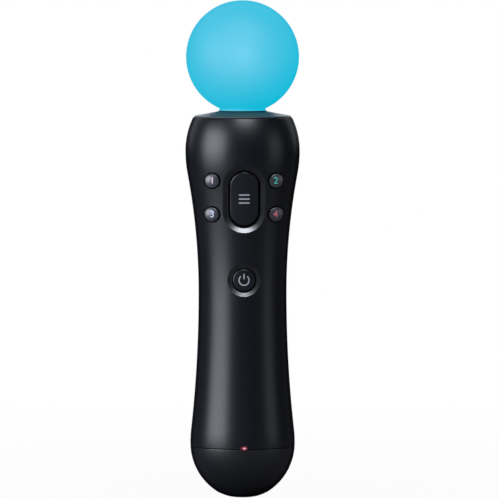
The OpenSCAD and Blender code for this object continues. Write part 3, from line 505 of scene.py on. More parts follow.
def moulded(name, tones, rough, grain, bump, level):
    """Moulded plastic or rubber: a fine grain that breaks up the gloss, and a slow drift between two tones.

    A real grain is about 0.1 mm, too fine to show, so it is drawn as coarse as it needs to show.
    """
    dark, light = tones
    material, tree, shader, place = surface(name, Specular_IOR_Level=level)
    drift = add(tree, "ShaderNodeTexNoise", {"Vector": place, "Scale": per_metre(DRIFT), "Detail": 3.0})
    fine = add(tree, "ShaderNodeTexNoise", {"Vector": place, "Scale": per_metre(grain), "Detail": 4.0})
    shade = add(tree, "ShaderNodeMix", {0: drift.outputs["Fac"], 6: colour(dark), 7: colour(light)},
                data_type="RGBA")
    gloss = add(tree, "ShaderNodeMapRange", {"Value": fine.outputs["Fac"], "From Min": 0.3, "From Max": 0.7,
                                             "To Min": rough - 0.04, "To Max": rough + 0.04})
    relief = add(tree, "ShaderNodeBump", {"Height": fine.outputs["Fac"], "Strength": bump,
                                          "Distance": GRAIN_DEEP * MM})
    tree.links.new(shade.outputs[2], shader.inputs["Base Color"])
    tree.links.new(gloss.outputs["Result"], shader.inputs["Roughness"])
    tree.links.new(relief.outputs["Normal"], shader.inputs["Normal"])
    return material


# An eroded finish loses its gloss over this range of glancing views, down to this level.
# Below the seam it is rubbed most from this height down.
GLANCING = (0.15, 0.7)
GLANCING_LEVEL = 0.004
RUB_Z = 5.0


def eroded(material, foot=1.0):
    """Lets a finish lose its gloss at a glancing view and, where foot is below 1, towards the foot."""
    tree = material.node_tree
    level = of_type(material, "BSDF_PRINCIPLED").inputs["Specular IOR Level"]
    slant = add(tree, "ShaderNodeLayerWeight", {"Blend": 0.5}).outputs["Facing"]
    fade = add(tree, "ShaderNodeMapRange", {"Value": slant, "From Min": GLANCING[0], "From Max": GLANCING[1],
                                            "To Min": level.default_value,
                                            "To Max": GLANCING_LEVEL}).outputs["Result"]
    if foot < 1.0:
        place = of_type(material, "TEX_COORD").outputs["Object"]
        height = add(tree, "ShaderNodeSeparateXYZ", {"Vector": place}).outputs["Z"]
        worn = add(tree, "ShaderNodeMapRange", {"Value": height, "From Min": RUB_Z * MM, "To Min": foot,
                                                "From Max": SEAM_Z * MM, "To Max": 1.0}).outputs["Result"]
        fade = add(tree, "ShaderNodeMath", {0: fade, 1: worn}, operation="MULTIPLY").outputs["Value"]
    tree.links.new(fade, level)
    return material


def thumbed(material, rough, level):
    """Polishes the walls of a dish, from plain to worn, where they face up and thumbs slide over them."""
    tree = material.node_tree
    shader = of_type(material, "BSDF_PRINCIPLED")
    normal = add(tree, "ShaderNodeNewGeometry").outputs["Normal"]
    up = add(tree, "ShaderNodeSeparateXYZ", {"Vector": normal}).outputs["Z"]
    for name, (plain, worn) in (("Roughness", rough), ("Specular IOR Level", level)):
        share = add(tree, "ShaderNodeMapRange", {"Value": up, "From Min": 0.2, "From Max": 0.45,
                                                 "To Min": plain, "To Max": worn})
        tree.links.new(share.outputs["Result"], shader.inputs[name])
    return material


def metal(name, tone, rough, streak, stretch=(1.0, 1.0, 1.0)):
    """Plated, drawn or rolled metal: fine streaks that break up its gloss.

    Real streaks are too fine to show, so they are drawn as coarse as they need to show.
    """
    material, tree, shader, place = surface(name, Base_Color=colour(tone), Metallic=1.0)
    turned = add(tree, "ShaderNodeMapping", {"Vector": place, "Scale": stretch})
    lines = add(tree, "ShaderNodeTexNoise", {"Vector": turned.outputs["Vector"], "Scale": per_metre(streak),
                                             "Detail": 3.0})
    gloss = add(tree, "ShaderNodeMapRange", {"Value": lines.outputs["Fac"], "From Min": 0.3, "From Max": 0.7,
                                             "To Min": rough - 0.08, "To Max": rough + 0.08})
    tree.links.new(gloss.outputs["Result"], shader.inputs["Roughness"])
    return material


def lit_rubber(name, skin, low, high):
    """Milky rubber lit from inside: an even glow with a slight haze under a matt skin."""
    material, tree, shader, place = surface(name, Base_Color=colour(skin), Roughness=0.62,
                                            Specular_IOR_Level=0.24, Emission_Strength=1.0)
    haze = add(tree, "ShaderNodeTexNoise", {"Vector": place, "Scale": per_metre(14.0), "Detail": 2.0})
    glow = add(tree, "ShaderNodeMix", {0: haze.outputs["Fac"], 6: colour(low), 7: colour(high)},
               data_type="RGBA")
    tree.links.new(glow.outputs[2], shader.inputs["Emission Color"])
    return material


def printed(name, tone, glow):
    """Ink printed on a moulding, with a faint painted glow in its own colour: flat, with a slightly uneven
    gloss.
    """
    # The emission is painted light: the ink has no lamp behind it, it only glows so as not to go dark in the
    # shade
    material, tree, shader, place = surface(name, Base_Color=colour(tone), Emission_Color=colour(tone),
                                            Emission_Strength=glow, Specular_IOR_Level=0.2)
    blotch = add(tree, "ShaderNodeTexNoise", {"Vector": place, "Scale": per_metre(0.6), "Detail": 2.0})
    gloss = add(tree, "ShaderNodeMapRange", {"Value": blotch.outputs["Fac"], "To Min": 0.4, "To Max": 0.6})
    tree.links.new(gloss.outputs["Result"], shader.inputs["Roughness"])
    return material


def lit_lens(name, wide, tall, height):
    """Dark red acrylic with a lamp behind it: a small pale core that fades to red and to black."""
    material, tree, shader, place = surface(name, Base_Color=colour("#2a0a10"), Roughness=0.2,
                                            Specular_IOR_Level=0.3, Emission_Strength=1.0)
    centred = add(tree, "ShaderNodeMapping", {"Vector": place, "Location": (0.0, 0.0, -height / tall * 2),
                                              "Scale": (2 / wide / MM, 0.0, 2 / tall / MM)})
    away = add(tree, "ShaderNodeVectorMath", {0: centred.outputs["Vector"]}, operation="LENGTH")
    glow = colour("#f0b6c6")
    for first, last, tone in ((0.15, 0.6, "#6d1226"), (0.45, 1.1, "#1a0308")):
        fade = add(tree, "ShaderNodeMapRange", {"Value": away.outputs["Value"], "From Min": first,
                                                "From Max": last})
        glow = add(tree, "ShaderNodeMix", {0: fade.outputs["Result"], 6: glow, 7: colour(tone)},
                   data_type="RGBA").outputs[2]
    tree.links.new(glow, shader.inputs["Emission Color"])
    return material


BLACK = ("#05060c", "#08090f")
# Black ABS with a spark-eroded grain: satin, with a broad soft highlight that dies away at the sides
CASING = eroded(moulded("grained ABS, black", BLACK, rough=0.36, grain=0.45, bump=0.1, level=0.33))
# The same grain on the end cap, rubbed dull towards the foot that it stands on
CAP = eroded(moulded("grained ABS, rubbed black", BLACK, rough=0.4, grain=0.45, bump=0.1, level=0.52), 0.55)
# Blasted finely, so that the ball's light lies on it as a soft teal
COLLAR = moulded("blasted ABS, black", ("#1d2325", "#212729"), rough=0.54, grain=0.6, bump=0.05, level=0.4)
# The casing's plastic in the dishes, where the walls that face up show the lamps as bright crescents
DISH = thumbed(moulded("grained ABS, thumb-worn black", BLACK, rough=0.4, grain=0.6, bump=0.03, level=0.46),
               rough=(0.4, 0.24), level=(0.46, 0.95))
# A touch smoother and greyer than the casing, so that the buttons stand out in their dishes
KEY = eroded(moulded("satin ABS, charcoal", ("#090a10", "#0c0d13"), rough=0.36, grain=0.5, bump=0.08,
                     level=0.35))
# Smoky and glossy, with a soft gleam on its dome
GLOSS_KEY = moulded("polished acrylic, smoke", ("#2a2a31", "#303038"), rough=0.34, grain=0.8, bump=0.03,
                    level=0.6)
# Glows evenly to its edge, with a soft light patch where a lamp falls on its matt skin
BALL = eroded(lit_rubber("milky rubber, lit cyan", "#252327", "#05b8d7", "#08bcdc"))
# Flat and pale, with hardly any gloss, and a faint painted glow
INK = printed("pad-printed ink, light grey", "#83858b", 0.05)
# The numerals carry a painted glow, so that they keep their colour in the shade
FIGURE_INKS = [printed(f"ink with painted glow, {name}", tone, 0.2) for name, tone in (
    ("pale rose", "#b9a7b6"), ("teal", "#45a697"), ("pale blue", "#a9b2c9"), ("rose", "#b0616c"))]

# Finishes of the pieces that keep their CAD shape, by the record's slot.
# Metals have a tone, a roughness and the width of their streaks, mouldings the same sizes as above.
SLOT_LOOKS = {
    # Grey and fairly bright, with a fine bloom
    "steel": metal("zinc-plated steel", "#85888d", 0.34, 0.8),
    # Lighter, with a clear line of light along the wire
    "spring_steel": metal("drawn spring wire", "#a5a8ad", 0.3, 0.4),
    # Dull grey, because it is pressed from powder
    "tungsten": metal("sintered tungsten", "#7d8085", 0.45, 0.5),
    # Bright, with streaks along the roll
    "tin_plate": metal("rolled tin plate", "#b9bcc0", 0.28, 0.8, (1.0, 1.0, 0.1)),
    # Warm and bright
    "gold_contact": metal("gold-plated brass", "#d2a94f", 0.25, 0.6),
    # Lacquer with a soft gloss, a little uneven over the copper
    "board_green": moulded("solder mask, green", ("#143d24", "#1a4a2c"), 0.35, 1.2, 0.1, 0.5),
    # The same lacquer in white, which throws the lamp's light back
    "board_white": moulded("solder mask, white", ("#dcdcd6", "#e6e6e0"), 0.4, 1.2, 0.1, 0.5),
    # Matt, with a faint grain
    "chip_black": moulded("moulded nylon, black", ("#141518", "#1a1b1e"), 0.5, 0.5, 0.2, 0.4),
    # Plain satin, as inner parts are
    "chassis_grey": moulded("moulded ABS, dark grey", ("#35373b", "#3b3d41"), 0.5, 0.6, 0.2, 0.4),
    # The same in a light grey that doesn't swallow the ball's light
    "lamp_base_grey": moulded("moulded ABS, light grey", ("#b4b7ba", "#bdc0c3"), 0.5, 0.6, 0.2, 0.4),
    # Matt and soft
    "keypad_rubber": moulded("moulded silicone, grey", ("#83868b", "#8b8e93"), 0.65, 0.8, 0.15, 0.3),
    # Almost without gloss
    "boot_rubber": moulded("moulded rubber, black", ("#1c1c1d", "#222223"), 0.7, 0.8, 0.2, 0.3),
    # Tight film with slight waves in its gloss
    "battery_wrap": moulded("shrink wrap, blue", ("#35527f", "#3d5c8c"), 0.35, 2.0, 0.15, 0.5),
    # Smooth film with a clear gloss
    "flex_amber": moulded("polyimide film, amber", ("#a86a26", "#b5762e"), 0.3, 1.5, 0.05, 0.5),
    # Glossy, and pale with the phosphor under it
    "lamp_yellow": moulded("cast epoxy, yellow", ("#ece6b4", "#f2edc0"), 0.25, 1.0, 0.05, 0.5),
    # Pale and milky, with a soft gloss
    "guide_clear": moulded("moulded acrylic, frosted", ("#d4e4e8", "#dcebef"), 0.3, 1.0, 0.05, 0.5),
}


def dress_cad_nodes():
    """Gives every CAD node that keeps its shape its finish."""
    for part in frame["record"]["subparts"]:
        look = SLOT_LOOKS.get(part["material_slot"])
        if look:
            for place in frame["nodes"][part["node"]].material_slots:
                place.material = look


# Casing

def dish_ring(name, button, form):
    """The sloped ring around a front button, from the casing's surface to the button's hole."""
    grow = 2 * form["margin"]
    across = form["margin"] - button["gap"]
    steps = [(inward, form["depth"] * min(inward / form["slope"], 1.0))
             for inward in spread(0.0, across, 0.15)]
    bm = bmesh.new()
    draw(bm, button["wide"] + grow, button["long"] + grow, (0.0, button["z"]), casing_face,
         steps + [(across, WALL), (0.0, WALL)], ring=True)
    obj = new_object(name, bm)
    smooth(obj, DISH_CREASE)
    piece(obj, "handle", "casing_black", DISH)


def rim_round():
    """The small round that leads from the casing's side to its flat rim."""
    bend = CROWN - RIM_ROUND
    first = math.asin((RIM_Z - RIM_ROUND - BULGE_Z) / bend)
    across = BULGE_R - CROWN + bend * math.cos(first)
    return arc((across, RIM_Z - RIM_ROUND), RIM_ROUND, first, math.pi / 2, 0.2)


def seam_edge(z, way):
    """The small round of a wall that ends at the seam, and the first points along it, upwards if way is 1."""
    r = casing_r(z)
    along = [z + way * step for step in (EDGE_ROUND, EDGE_ROUND + EDGE_NEXT)]
    return [(r - EDGE_ROUND, z), (r - EDGE_BREAK, z + way * EDGE_BREAK)] + [(casing_r(h), h) for h in along]


def wall_section(rise):
    """The casing's wall from the seam to the rim, as a closed section with points about that far apart."""
    low = SEAM_Z + SEAM_GAP / 2
    top = rim_round()
    heights = [z for z in spread(SEAM_Z, RIM_Z, rise) if low + 2 * EDGE_ROUND <= z < top[0][1] - 0.2]
    inner = [(casing_r(z) - WALL, z) for z in spread(RIM_Z, low, -4.0)]
    return seam_edge(low, 1) + [(casing_r(z), z) for z in heights] + top + inner


def casing_half(name, first, rise, steps):
    """Half of the casing, closed along the parting plane and with a fine groove there."""
    bm = bmesh.new()
    lathe(bm, wall_section(rise), steps, 180.0, first)

    def at_parting(v):
        return abs(v.co.y) < WELD and abs(v.co.x) / MM > casing_r(v.co.z / MM) - 0.01
    edge = [e for e in bm.edges if all(at_parting(v) for v in e.verts)]
    bmesh.ops.bevel(bm, geom=edge, offset=PARTING_EDGE * MM, offset_type="OFFSET", segments=1, profile=0.5,
                    affect="EDGES", material=-1)
    return new_object(name, bm)


def front_casing():
    obj = casing_half("front_casing", 180.0, 0.8, 135)
    holes = [prism(b["wide"] + 2 * d["margin"], b["long"] + 2 * d["margin"], (0.0, b["z"]),
                   -CUT_FAR, -CUT_NEAR, 96) for b, d in ((OVAL, OVAL_DISH), (HOME, HOME_DISH))]
    hole = ROUND_D + 2 * ROUND_GAP
    holes += [prism(hole, hole, place, -CUT_FAR, -CUT_NEAR) for place in ROUND_PLACES]
    combine(obj, "DIFFERENCE", *holes, status_hole())
    smooth(obj)
    piece(obj, "handle", "casing_black", CASING, "front_shell")
    dish_ring("oval_dish", OVAL, OVAL_DISH)
    dish_ring("home_dish", HOME, HOME_DISH)


def rear_casing():
    obj = casing_half("rear_casing", 0.0, 1.2, 96)
    combine(obj, "DIFFERENCE", trigger_window(), side_hole(1), side_hole(-1),
            *[prism(SCREW_WELL, SCREW_WELL, place, CUT_NEAR, CUT_FAR) for place in SCREW_PLACES])
    smooth(obj)
    piece(obj, "handle", "casing_black", CASING, "rear_shell")


def trigger_window():
    """The opening that the trigger swings in: round upper corners and a lower edge about its pivot."""
    wide = TRIGGER_W + 2 * TRIGGER_GAP
    high = TRIGGER_TOP + TRIGGER_GAP
    bm = bmesh.new()
    plate(bm, wide, THROUGH, TRIGGER_CORNER + TRIGGER_GAP, (0.0, high - THROUGH / 2), False)
    bar(bm, CUT_NEAR, CUT_FAR)
    obj = new_object("tool", bm)
    combine(obj, "INTERSECT", rod(TRIGGER_REACH + TRIGGER_GAP, THROUGH, PIVOT, True, 256))
    return obj


def side_turn(bm, way):
    """Turns what faces the front to the right side, or to the left if way is -1."""
    turn = Matrix.Translation((0, SIDE["y"] * MM, 0)) @ Matrix.Rotation(math.pi / 2 * way, 4, "Z")
    bmesh.ops.transform(bm, matrix=turn, verts=bm.verts)


def side_hole(way):
    """A side button's hole as a bar along X, to cut with."""
    bm = bmesh.new()
    stadium(bm, SIDE["wide"] + 2 * SIDE_GAP, SIDE["long"] + 2 * SIDE_GAP, (0.0, SIDE["z"]))
    bar(bm, -CUT_FAR, -CUT_NEAR)
    side_turn(bm, way)
    return new_object("tool", bm)


# Lower end

STATUS_LOW, STATUS_HIGH = in_mm(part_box("status_lens"))
STATUS_SIZE = STATUS_HIGH - STATUS_LOW
STATUS_Z = (STATUS_LOW.z + STATUS_HIGH.z) / 2


def status_outline(grow=0.0):
    """The status light's outline as a flat face, longer along X."""
    bm = bmesh.new()
    stadium(bm, STATUS_SIZE.z + 2 * grow, STATUS_SIZE.x + 2 * grow, segments=32)
    bmesh.ops.transform(bm, matrix=lengthways(STATUS_Z), verts=bm.verts)
    return bm


def status_hole():
    """The status light's hole as a bar along Y, to cut with."""
    bm = status_outline(STATUS_GAP)
    bar(bm, -HIP_R - 2.0, STATUS_HIGH.y)
    return new_object("tool", bm)


def status_light():
    bm = status_outline()
    slice_faces(bm, spread(-1.2, 1.2, 0.4))
    crown(bm, casing_face, lambda x, z: STATUS_HIGH.y, STATUS_RIM)
    obj = new_object("status_light", bm)
    smooth(obj)
    look = lit_lens("acrylic lens, red", STATUS_SIZE.x, STATUS_SIZE.z, STATUS_Z)
    piece(obj, "handle", "status_red", look, "status_lens")


def foot_round():
    """The end cap's outer line from its middle, with the foot rounded off."""
    corner, end = FOOT_R + FOOT_SWELL, casing_r(FOOT_HIGH)
    curve = [((1 - t) ** 2 * FOOT_FLAT + 2 * t * (1 - t) * corner + t * t * end, t * t * FOOT_HIGH)
             for t in spread(0.0, 1.0, 0.125)]
    return [(0.0, 0.0)] + curve


def end_cap():
    """The bowl at the lower end, with a spigot behind the seam and the strap's lined pocket."""
    high = SEAM_Z - SEAM_GAP / 2
    inset = WALL + SPIGOT_GAP
    spigot = casing_r(high) - inset
    heights = [z for z in spread(0.0, high, 0.7) if FOOT_HIGH + 0.3 < z < high - 2 * EDGE_ROUND]
    outer = foot_round() + [(casing_r(z), z) for z in heights] + seam_edge(high, -1)[::-1]
    inner = [(spigot, high), (spigot, high + SPIGOT_HIGH), (spigot - SPIGOT_T, high + SPIGOT_HIGH)]
    inner += [(casing_r(z) - inset - SPIGOT_T, z + BOWL_LIFT) for z in spread(high - 3.0, 1.5, -1.2)]
    bm = bmesh.new()
    lathe(bm, outer + inner + [(0.0, inner[-1][1])], 128)
    obj = new_object("end_cap_bowl", bm)
    low, tall = in_mm(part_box("strap_bar"))
    centre = (0.0, (low.y + tall.y) / 2 + POCKET_BACK, (low.z + tall.z) / 2)
    combine(obj, "UNION", pocket_liner(centre, high))
    combine(obj, "DIFFERENCE", rod(POCKET_R, POCKET_W, centre, True), *cap_windows())
    smooth(obj)
    piece(obj, "handle", "casing_black", CAP, "end_cap")


def pocket_liner(centre, high):
    """The walls around the strap's pocket, kept within the end cap."""
    inside = [(casing_r(z) - LINER_INSET, z) for z in spread(LINER_INSET, high, 1.0)]
    bm = bmesh.new()
    lathe(bm, [(0.0, LINER_INSET)] + inside + [(0.0, high)], 96)
    obj = new_object("tool", bm)
    combine(obj, "INTERSECT", rod(POCKET_R + POCKET_WALL, POCKET_W + 2 * POCKET_WALL, centre, True))
    return obj


def cap_windows():
    """Openings for the status light, the two sockets and the charging contacts."""
    tools = [status_hole()]
    for node, inset in (("data_socket", 0.0), ("ext_socket", SOCKET_WALL)):
        low, high = in_mm(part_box(node))
        grow = SOCKET_GAP - inset
        tools.append(block((low.x - grow, low.y - grow, SOCKET_CUT[0]),
                           (high.x + grow, high.y + grow, SOCKET_CUT[1])))
    low, high = in_mm(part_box("charge_contacts"))
    r = (high.y - low.y) / 2
    tools += [rod(r + FIT_GAP, CONTACT_CUT, (x, 0.0, 0.0)) for x in (low.x + r, high.x - r)]
    return tools


# Head

def collar():
    """The flat cone that closes the casing, with a low lip around the ball's neck."""
    low, bottom = RIM_Z + COLLAR_GAP, RIM_Z - COLLAR_BELOW
    step = COLLAR_R - COLLAR_STEP
    profile = [(COLLAR_HOLE, bottom), (COLLAR_HOLE, COLLAR_LIP), (COLLAR_HOLE + LIP_T, COLLAR_LIP),
               (COLLAR_HOLE + LIP_FOOT_T, COLLAR_TOP)]
    profile += arc((COLLAR_R - COLLAR_ROUND, low + COLLAR_BREAK), COLLAR_ROUND,
                   math.radians(COLLAR_ROUND_FROM), 0.0, -0.18)
    profile += [(COLLAR_R - COLLAR_BREAK, low), (step, low), (step, bottom)]
    bm = bmesh.new()
    lathe(bm, profile, 128)
    obj = new_object("collar_ring", bm)
    smooth(obj, KEY_CREASE)
    piece(obj, "handle", "collar_black", COLLAR, "collar")


def glow_ball():
    """The hollow ball with its neck, and the flange that the collar holds."""
    middle = (0.0, BALL_Z)
    thin = BALL_R - BALL_WALL
    neck_in = NECK_R - BALL_WALL
    low, high = RIM_Z - FLANGE_T, RIM_Z - FLANGE_GAP
    profile = [(neck_in, low), (FLANGE_R, low), (FLANGE_R, high), (NECK_R, high)]
    profile += arc(middle, BALL_R, -math.acos(NECK_R / BALL_R), math.pi / 2, 0.035)[:-1]
    profile += [(0.0, BALL_Z + BALL_R), (0.0, BALL_Z + thin)]
    profile += arc(middle, thin, math.pi / 2, -math.acos(neck_in / thin), -0.07)[1:]
    bm = bmesh.new()
    lathe(bm, profile, 144)
    obj = new_object("ball", bm)
    smooth(obj, BALL_CREASE)
    piece(obj, "handle", "ball_glow", BALL, "light_ball")


# Buttons

def key_face(button):
    """A face that follows the casing's slope below its surface and bends across by itself."""
    return lambda x, z: -(casing_r(z) - button["set"] - x * x / (2 * button["bend"]))


def key_top(rim, half, step):
    """Steps of (inward, deep) from a key's side around its rounded edge to the middle of its face."""
    edge = [(rim - rim * math.cos(a), rim - rim * math.sin(a)) for a in spread(0.0, math.pi / 2, 0.26)]
    return edge + [(inward, 0.0) for inward in spread(rim, half, step)[1:]]


def finish_key(name, bm, node, slot, material):
    """Makes a button of a mesh and lets it ride on its own body."""
    obj = new_object(name, bm)
    smooth(obj, KEY_CREASE)
    piece(obj, node, slot, material, node)


def front_key(name, button, node):
    """A button with a rounded edge, and the flange that keeps it in the casing."""
    steps = [(-KEY_FLANGE_W, KEY_DEEP + KEY_FLANGE_T), (-KEY_FLANGE_W, KEY_DEEP), (0.0, KEY_DEEP)]
    steps += key_top(KEY_RIM, button["wide"] / 2, 0.8)
    bm = bmesh.new()
    draw(bm, button["wide"], button["long"], (0.0, button["z"]), key_face(button), steps)
    finish_key(name, bm, node, "button_black", KEY)


def dome_face(place):
    """The top of a small round button: a ball cap that faces half way from the casing to the front."""
    r = casing_r(place[1])
    face = math.asin(place[0] / r) / 2
    sink = ROUND_DOME - ROUND_PROUD
    x0, y0 = place[0] - sink * math.sin(face), sink * math.cos(face) - math.sqrt(r * r - place[0] ** 2)

    def top(x, z):
        return y0 - math.sqrt(max(ROUND_DOME ** 2 - (x - x0) ** 2 - (z - place[1]) ** 2, 0.0))
    return top


def round_key(number, place):
    """A small domed button and its numeral."""
    top = dome_face(place)
    node = f"round_button_{number}"
    steps = [(0.0, ROUND_DEEP)] + key_top(ROUND_RIM, ROUND_D / 2, 0.26)
    bm = bmesh.new()
    draw(bm, ROUND_D, ROUND_D, place, top, steps, segments=64)
    finish_key(f"round_key_{number}", bm, node, "button_gloss", GLOSS_KEY)
    figure(number, place, top, node)


def figure(number, place, top, node):
    """A printed numeral that lies on the button's dome."""
    words = bpy.data.curves.new("figure", "FONT")
    words.body = str(number)
    words.size = FIGURE_SIZE * MM
    words.align_x = "CENTER"
    words.align_y = "CENTER"
    flat = bpy.data.objects.new("figure", words)
    bpy.context.scene.collection.objects.link(flat)
    mesh = bpy.data.meshes.new_from_object(flat.evaluated_get(bpy.context.evaluated_depsgraph_get()))
    bpy.data.objects.remove(flat)
    bm = bmesh.new()
    bm.from_mesh(mesh)
    bpy.data.meshes.remove(mesh)
    bmesh.ops.remove_doubles(bm, verts=bm.verts, dist=WELD)
    bmesh.ops.transform(bm, matrix=upright(*place), verts=bm.verts)
    x, z = place
    slice_faces(bm, spread(x - FIGURE_HALF_W, x + FIGURE_HALF_W, 0.3),
                spread(z - FIGURE_HALF_H, z + FIGURE_HALF_H, 0.3))
    ink(f"numeral_{number}", bm, top, node, "button_gloss", FIGURE_INKS[number - 1])


def ink(name, bm, face, node, slot, material):
    """Lays a flat mark on a button's face as a thin layer."""
    crown(bm, lambda x, z: face(x, z) - INK_PROUD, lambda x, z: face(x, z) + INK_SUNK)
    piece(new_object(name, bm), node, slot, material)


def oval_mark():
    """Three short bars across the oval button."""
    bm = bmesh.new()
    for step in (1, 0, -1):
        stadium(bm, BARS["wide"], BARS["long"], (BARS["pitch"] * step, 0.0), 16)
    bmesh.ops.transform(bm, matrix=lengthways(OVAL["z"]), verts=bm.verts)
    slice_faces(bm, spread(-1.8, 1.8, 0.6))
    ink("oval_bars", bm, key_face(OVAL), "oval_button", "button_black", INK)


def home_mark():
    """The plain power sign: an open ring and a bar."""
    half = POWER["stroke"] / 2
    place = Vector((0, 0, HOME["z"])) * MM
    first = math.radians(90.0 + POWER["mouth"] / 2)
    bm = bmesh.new()
    ends = [bm.verts.new(place + Vector((math.cos(first), 0, math.sin(first))) * r * MM)
            for r in (POWER["ring"] - half, POWER["ring"] + half)]
    bmesh.ops.spin(bm, geom=[*ends, bm.edges.new(ends)], cent=place, axis=(0, -1, 0),
                   angle=math.radians(360.0 - POWER["mouth"]), steps=36)
    plate(bm, POWER["stroke"], POWER["bar"], 0.0, (0.0, HOME["z"] + POWER["lift"]))
    ink("home_sign", bm, key_face(HOME), "home_button", "button_black", INK)


def side_key(name, way, node):
    """A round-ended button in the casing's side."""
    def top(x, z):
        return -math.sqrt(casing_r(z) ** 2 - (SIDE["y"] + x * way) ** 2) - SIDE_PROUD
    steps = [(0.0, SIDE_DEEP)] + key_top(ROUND_RIM, SIDE["wide"] / 2, 0.4)
    bm = bmesh.new()
    draw(bm, SIDE["wide"], SIDE["long"], (0.0, SIDE["z"]), top, steps, segments=64)
    side_turn(bm, way)
    finish_key(name, bm, node, "button_black", KEY)


# Trigger

def paddle_face(x, z):
    """The paddle's outside, which flares out downwards and is rounded off along its edge."""
    share = (TRIGGER_TOP - z) / (TRIGGER_TOP - TRIGGER_LOW)
    out = math.sqrt((casing_r(z) + TRIGGER_PROUD + TRIGGER_FLARE * share * share) ** 2 - x * x)
    half = (TRIGGER_TOP - PADDLE_LOW) / 2
    reach = Vector((abs(x) - TRIGGER_W / 2 + TRIGGER_CORNER,
                    abs(z - PADDLE_LOW - half) - half + TRIGGER_CORNER))
    corner = Vector((max(reach.x, 0.0), max(reach.y, 0.0))).length + min(max(reach.x, reach.y), 0.0)
    short = min(max(TRIGGER_RIM - TRIGGER_CORNER + corner, 0.0), TRIGGER_RIM)
    return out - TRIGGER_RIM + math.sqrt(TRIGGER_RIM ** 2 - short ** 2)


def skirt_face(x, z):
    """The skirt's outside, just below the casing's surface."""
    return math.sqrt((casing_r(z) - TRIGGER_GAP) ** 2 - x * x)


def swing(point):
    """Keeps a point within the trigger's reach from its pivot."""
    arm = Vector((0.0, point.y - PIVOT.y, point.z - PIVOT.z))
    return point - arm + arm * min(1.0, TRIGGER_REACH / arm.length) if arm.length > 1e-6 else point


def lever_part(face, low, all_round, inset=0.0):
    """A part of the trigger from its curved face back to the plane of its pivot."""
    # The lines that it is cut along lie close together near its edge, where the face is rounded
    edge = [0.3 * i for i in range(1, 8)]
    across = [TRIGGER_W / 2 - e for e in edge + [3.0, 4.4, 5.8, 7.2]]
    up = [low + e for e in edge] + [TRIGGER_TOP - e for e in edge] + spread(low + 3.0, TRIGGER_TOP - 3.0, 1.0)
    top = TRIGGER_TOP - inset
    bm = bmesh.new()
    plate(bm, TRIGGER_W - 2 * inset, top - low, TRIGGER_CORNER, (0.0, (top + low) / 2), all_round)
    slice_faces(bm, across + [-x for x in across], up)
    crown(bm, face, lambda x, z: PIVOT.y + inset, shape=swing)
    return new_object("trigger_lever", bm)


def lever_hollow():
    """The room behind the trigger's walls for its spring, below the hub on its pin."""
    low, high = PADDLE_LOW + TRIGGER_WALL, PIVOT.z - HUB_R
    wide = TRIGGER_W - 2 * TRIGGER_WALL
    bm = bmesh.new()
    plate(bm, wide, high - low, HOLLOW_CORNER, (0.0, (high + low) / 2))
    slice_faces(bm, spread(-wide / 2, wide / 2, 1.0)[1:-1], spread(low, high, 1.0)[1:-1])
    crown(bm, lambda x, z: paddle_face(x, z) - TRIGGER_WALL, lambda x, z: PIVOT.y - HOLLOW_PAST)
    return new_object("tool", bm)


def trigger():
    """The finger lever: a flared paddle with round corners on a skirt that fills its window."""
    obj = lever_part(paddle_face, PADDLE_LOW, True)
    combine(obj, "UNION", lever_part(skirt_face, TRIGGER_LOW, False, SKIRT_INSET))
    low, high = in_mm(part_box("trigger_pin"))
    combine(obj, "DIFFERENCE", lever_hollow(), rod((high.z - low.z) / 2 + FIT_GAP, THROUGH, PIVOT, True, 48))
    smooth(obj, KEY_CREASE)
    piece(obj, "trigger", "trigger_black", KEY, "trigger")


def return_spring():
    """The coil that pushes the trigger out and shortens as it is pulled, made here at its rest length on the
    handle.
    """
    low, high = in_mm(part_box("trigger_spring"))
    middle = (low + high) / 2
    steps = SPRING_TURNS * SPRING_STEPS
    rise = (high.y - low.y - SPRING_WIRE) / steps
    first = Vector((high.x - SPRING_WIRE / 2, low.y + SPRING_WIRE / 2, middle.z))
    bm = bmesh.new()
    bmesh.ops.create_circle(bm, cap_ends=True, segments=12, radius=SPRING_WIRE / 2 * MM,
                            matrix=Matrix.Translation(first * MM))
    bmesh.ops.spin(bm, geom=bm.verts[:] + bm.edges[:] + bm.faces[:], cent=Vector((0, 0, middle.z)) * MM,
                   axis=(0, 1, 0), dvec=Vector((0, rise, 0)) * MM, angle=2 * math.pi * SPRING_TURNS,
                   steps=steps)
    bmesh.ops.holes_fill(bm, edges=[e for e in bm.edges if e.is_boundary], sides=0)
    bmesh.ops.recalc_face_normals(bm, faces=bm.faces)
    obj = new_object("return_spring", bm)
    smooth(obj)
    piece(obj, "handle", "spring_steel", SLOT_LOOKS["spring_steel"], "trigger_spring")
    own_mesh(obj)


# Stage

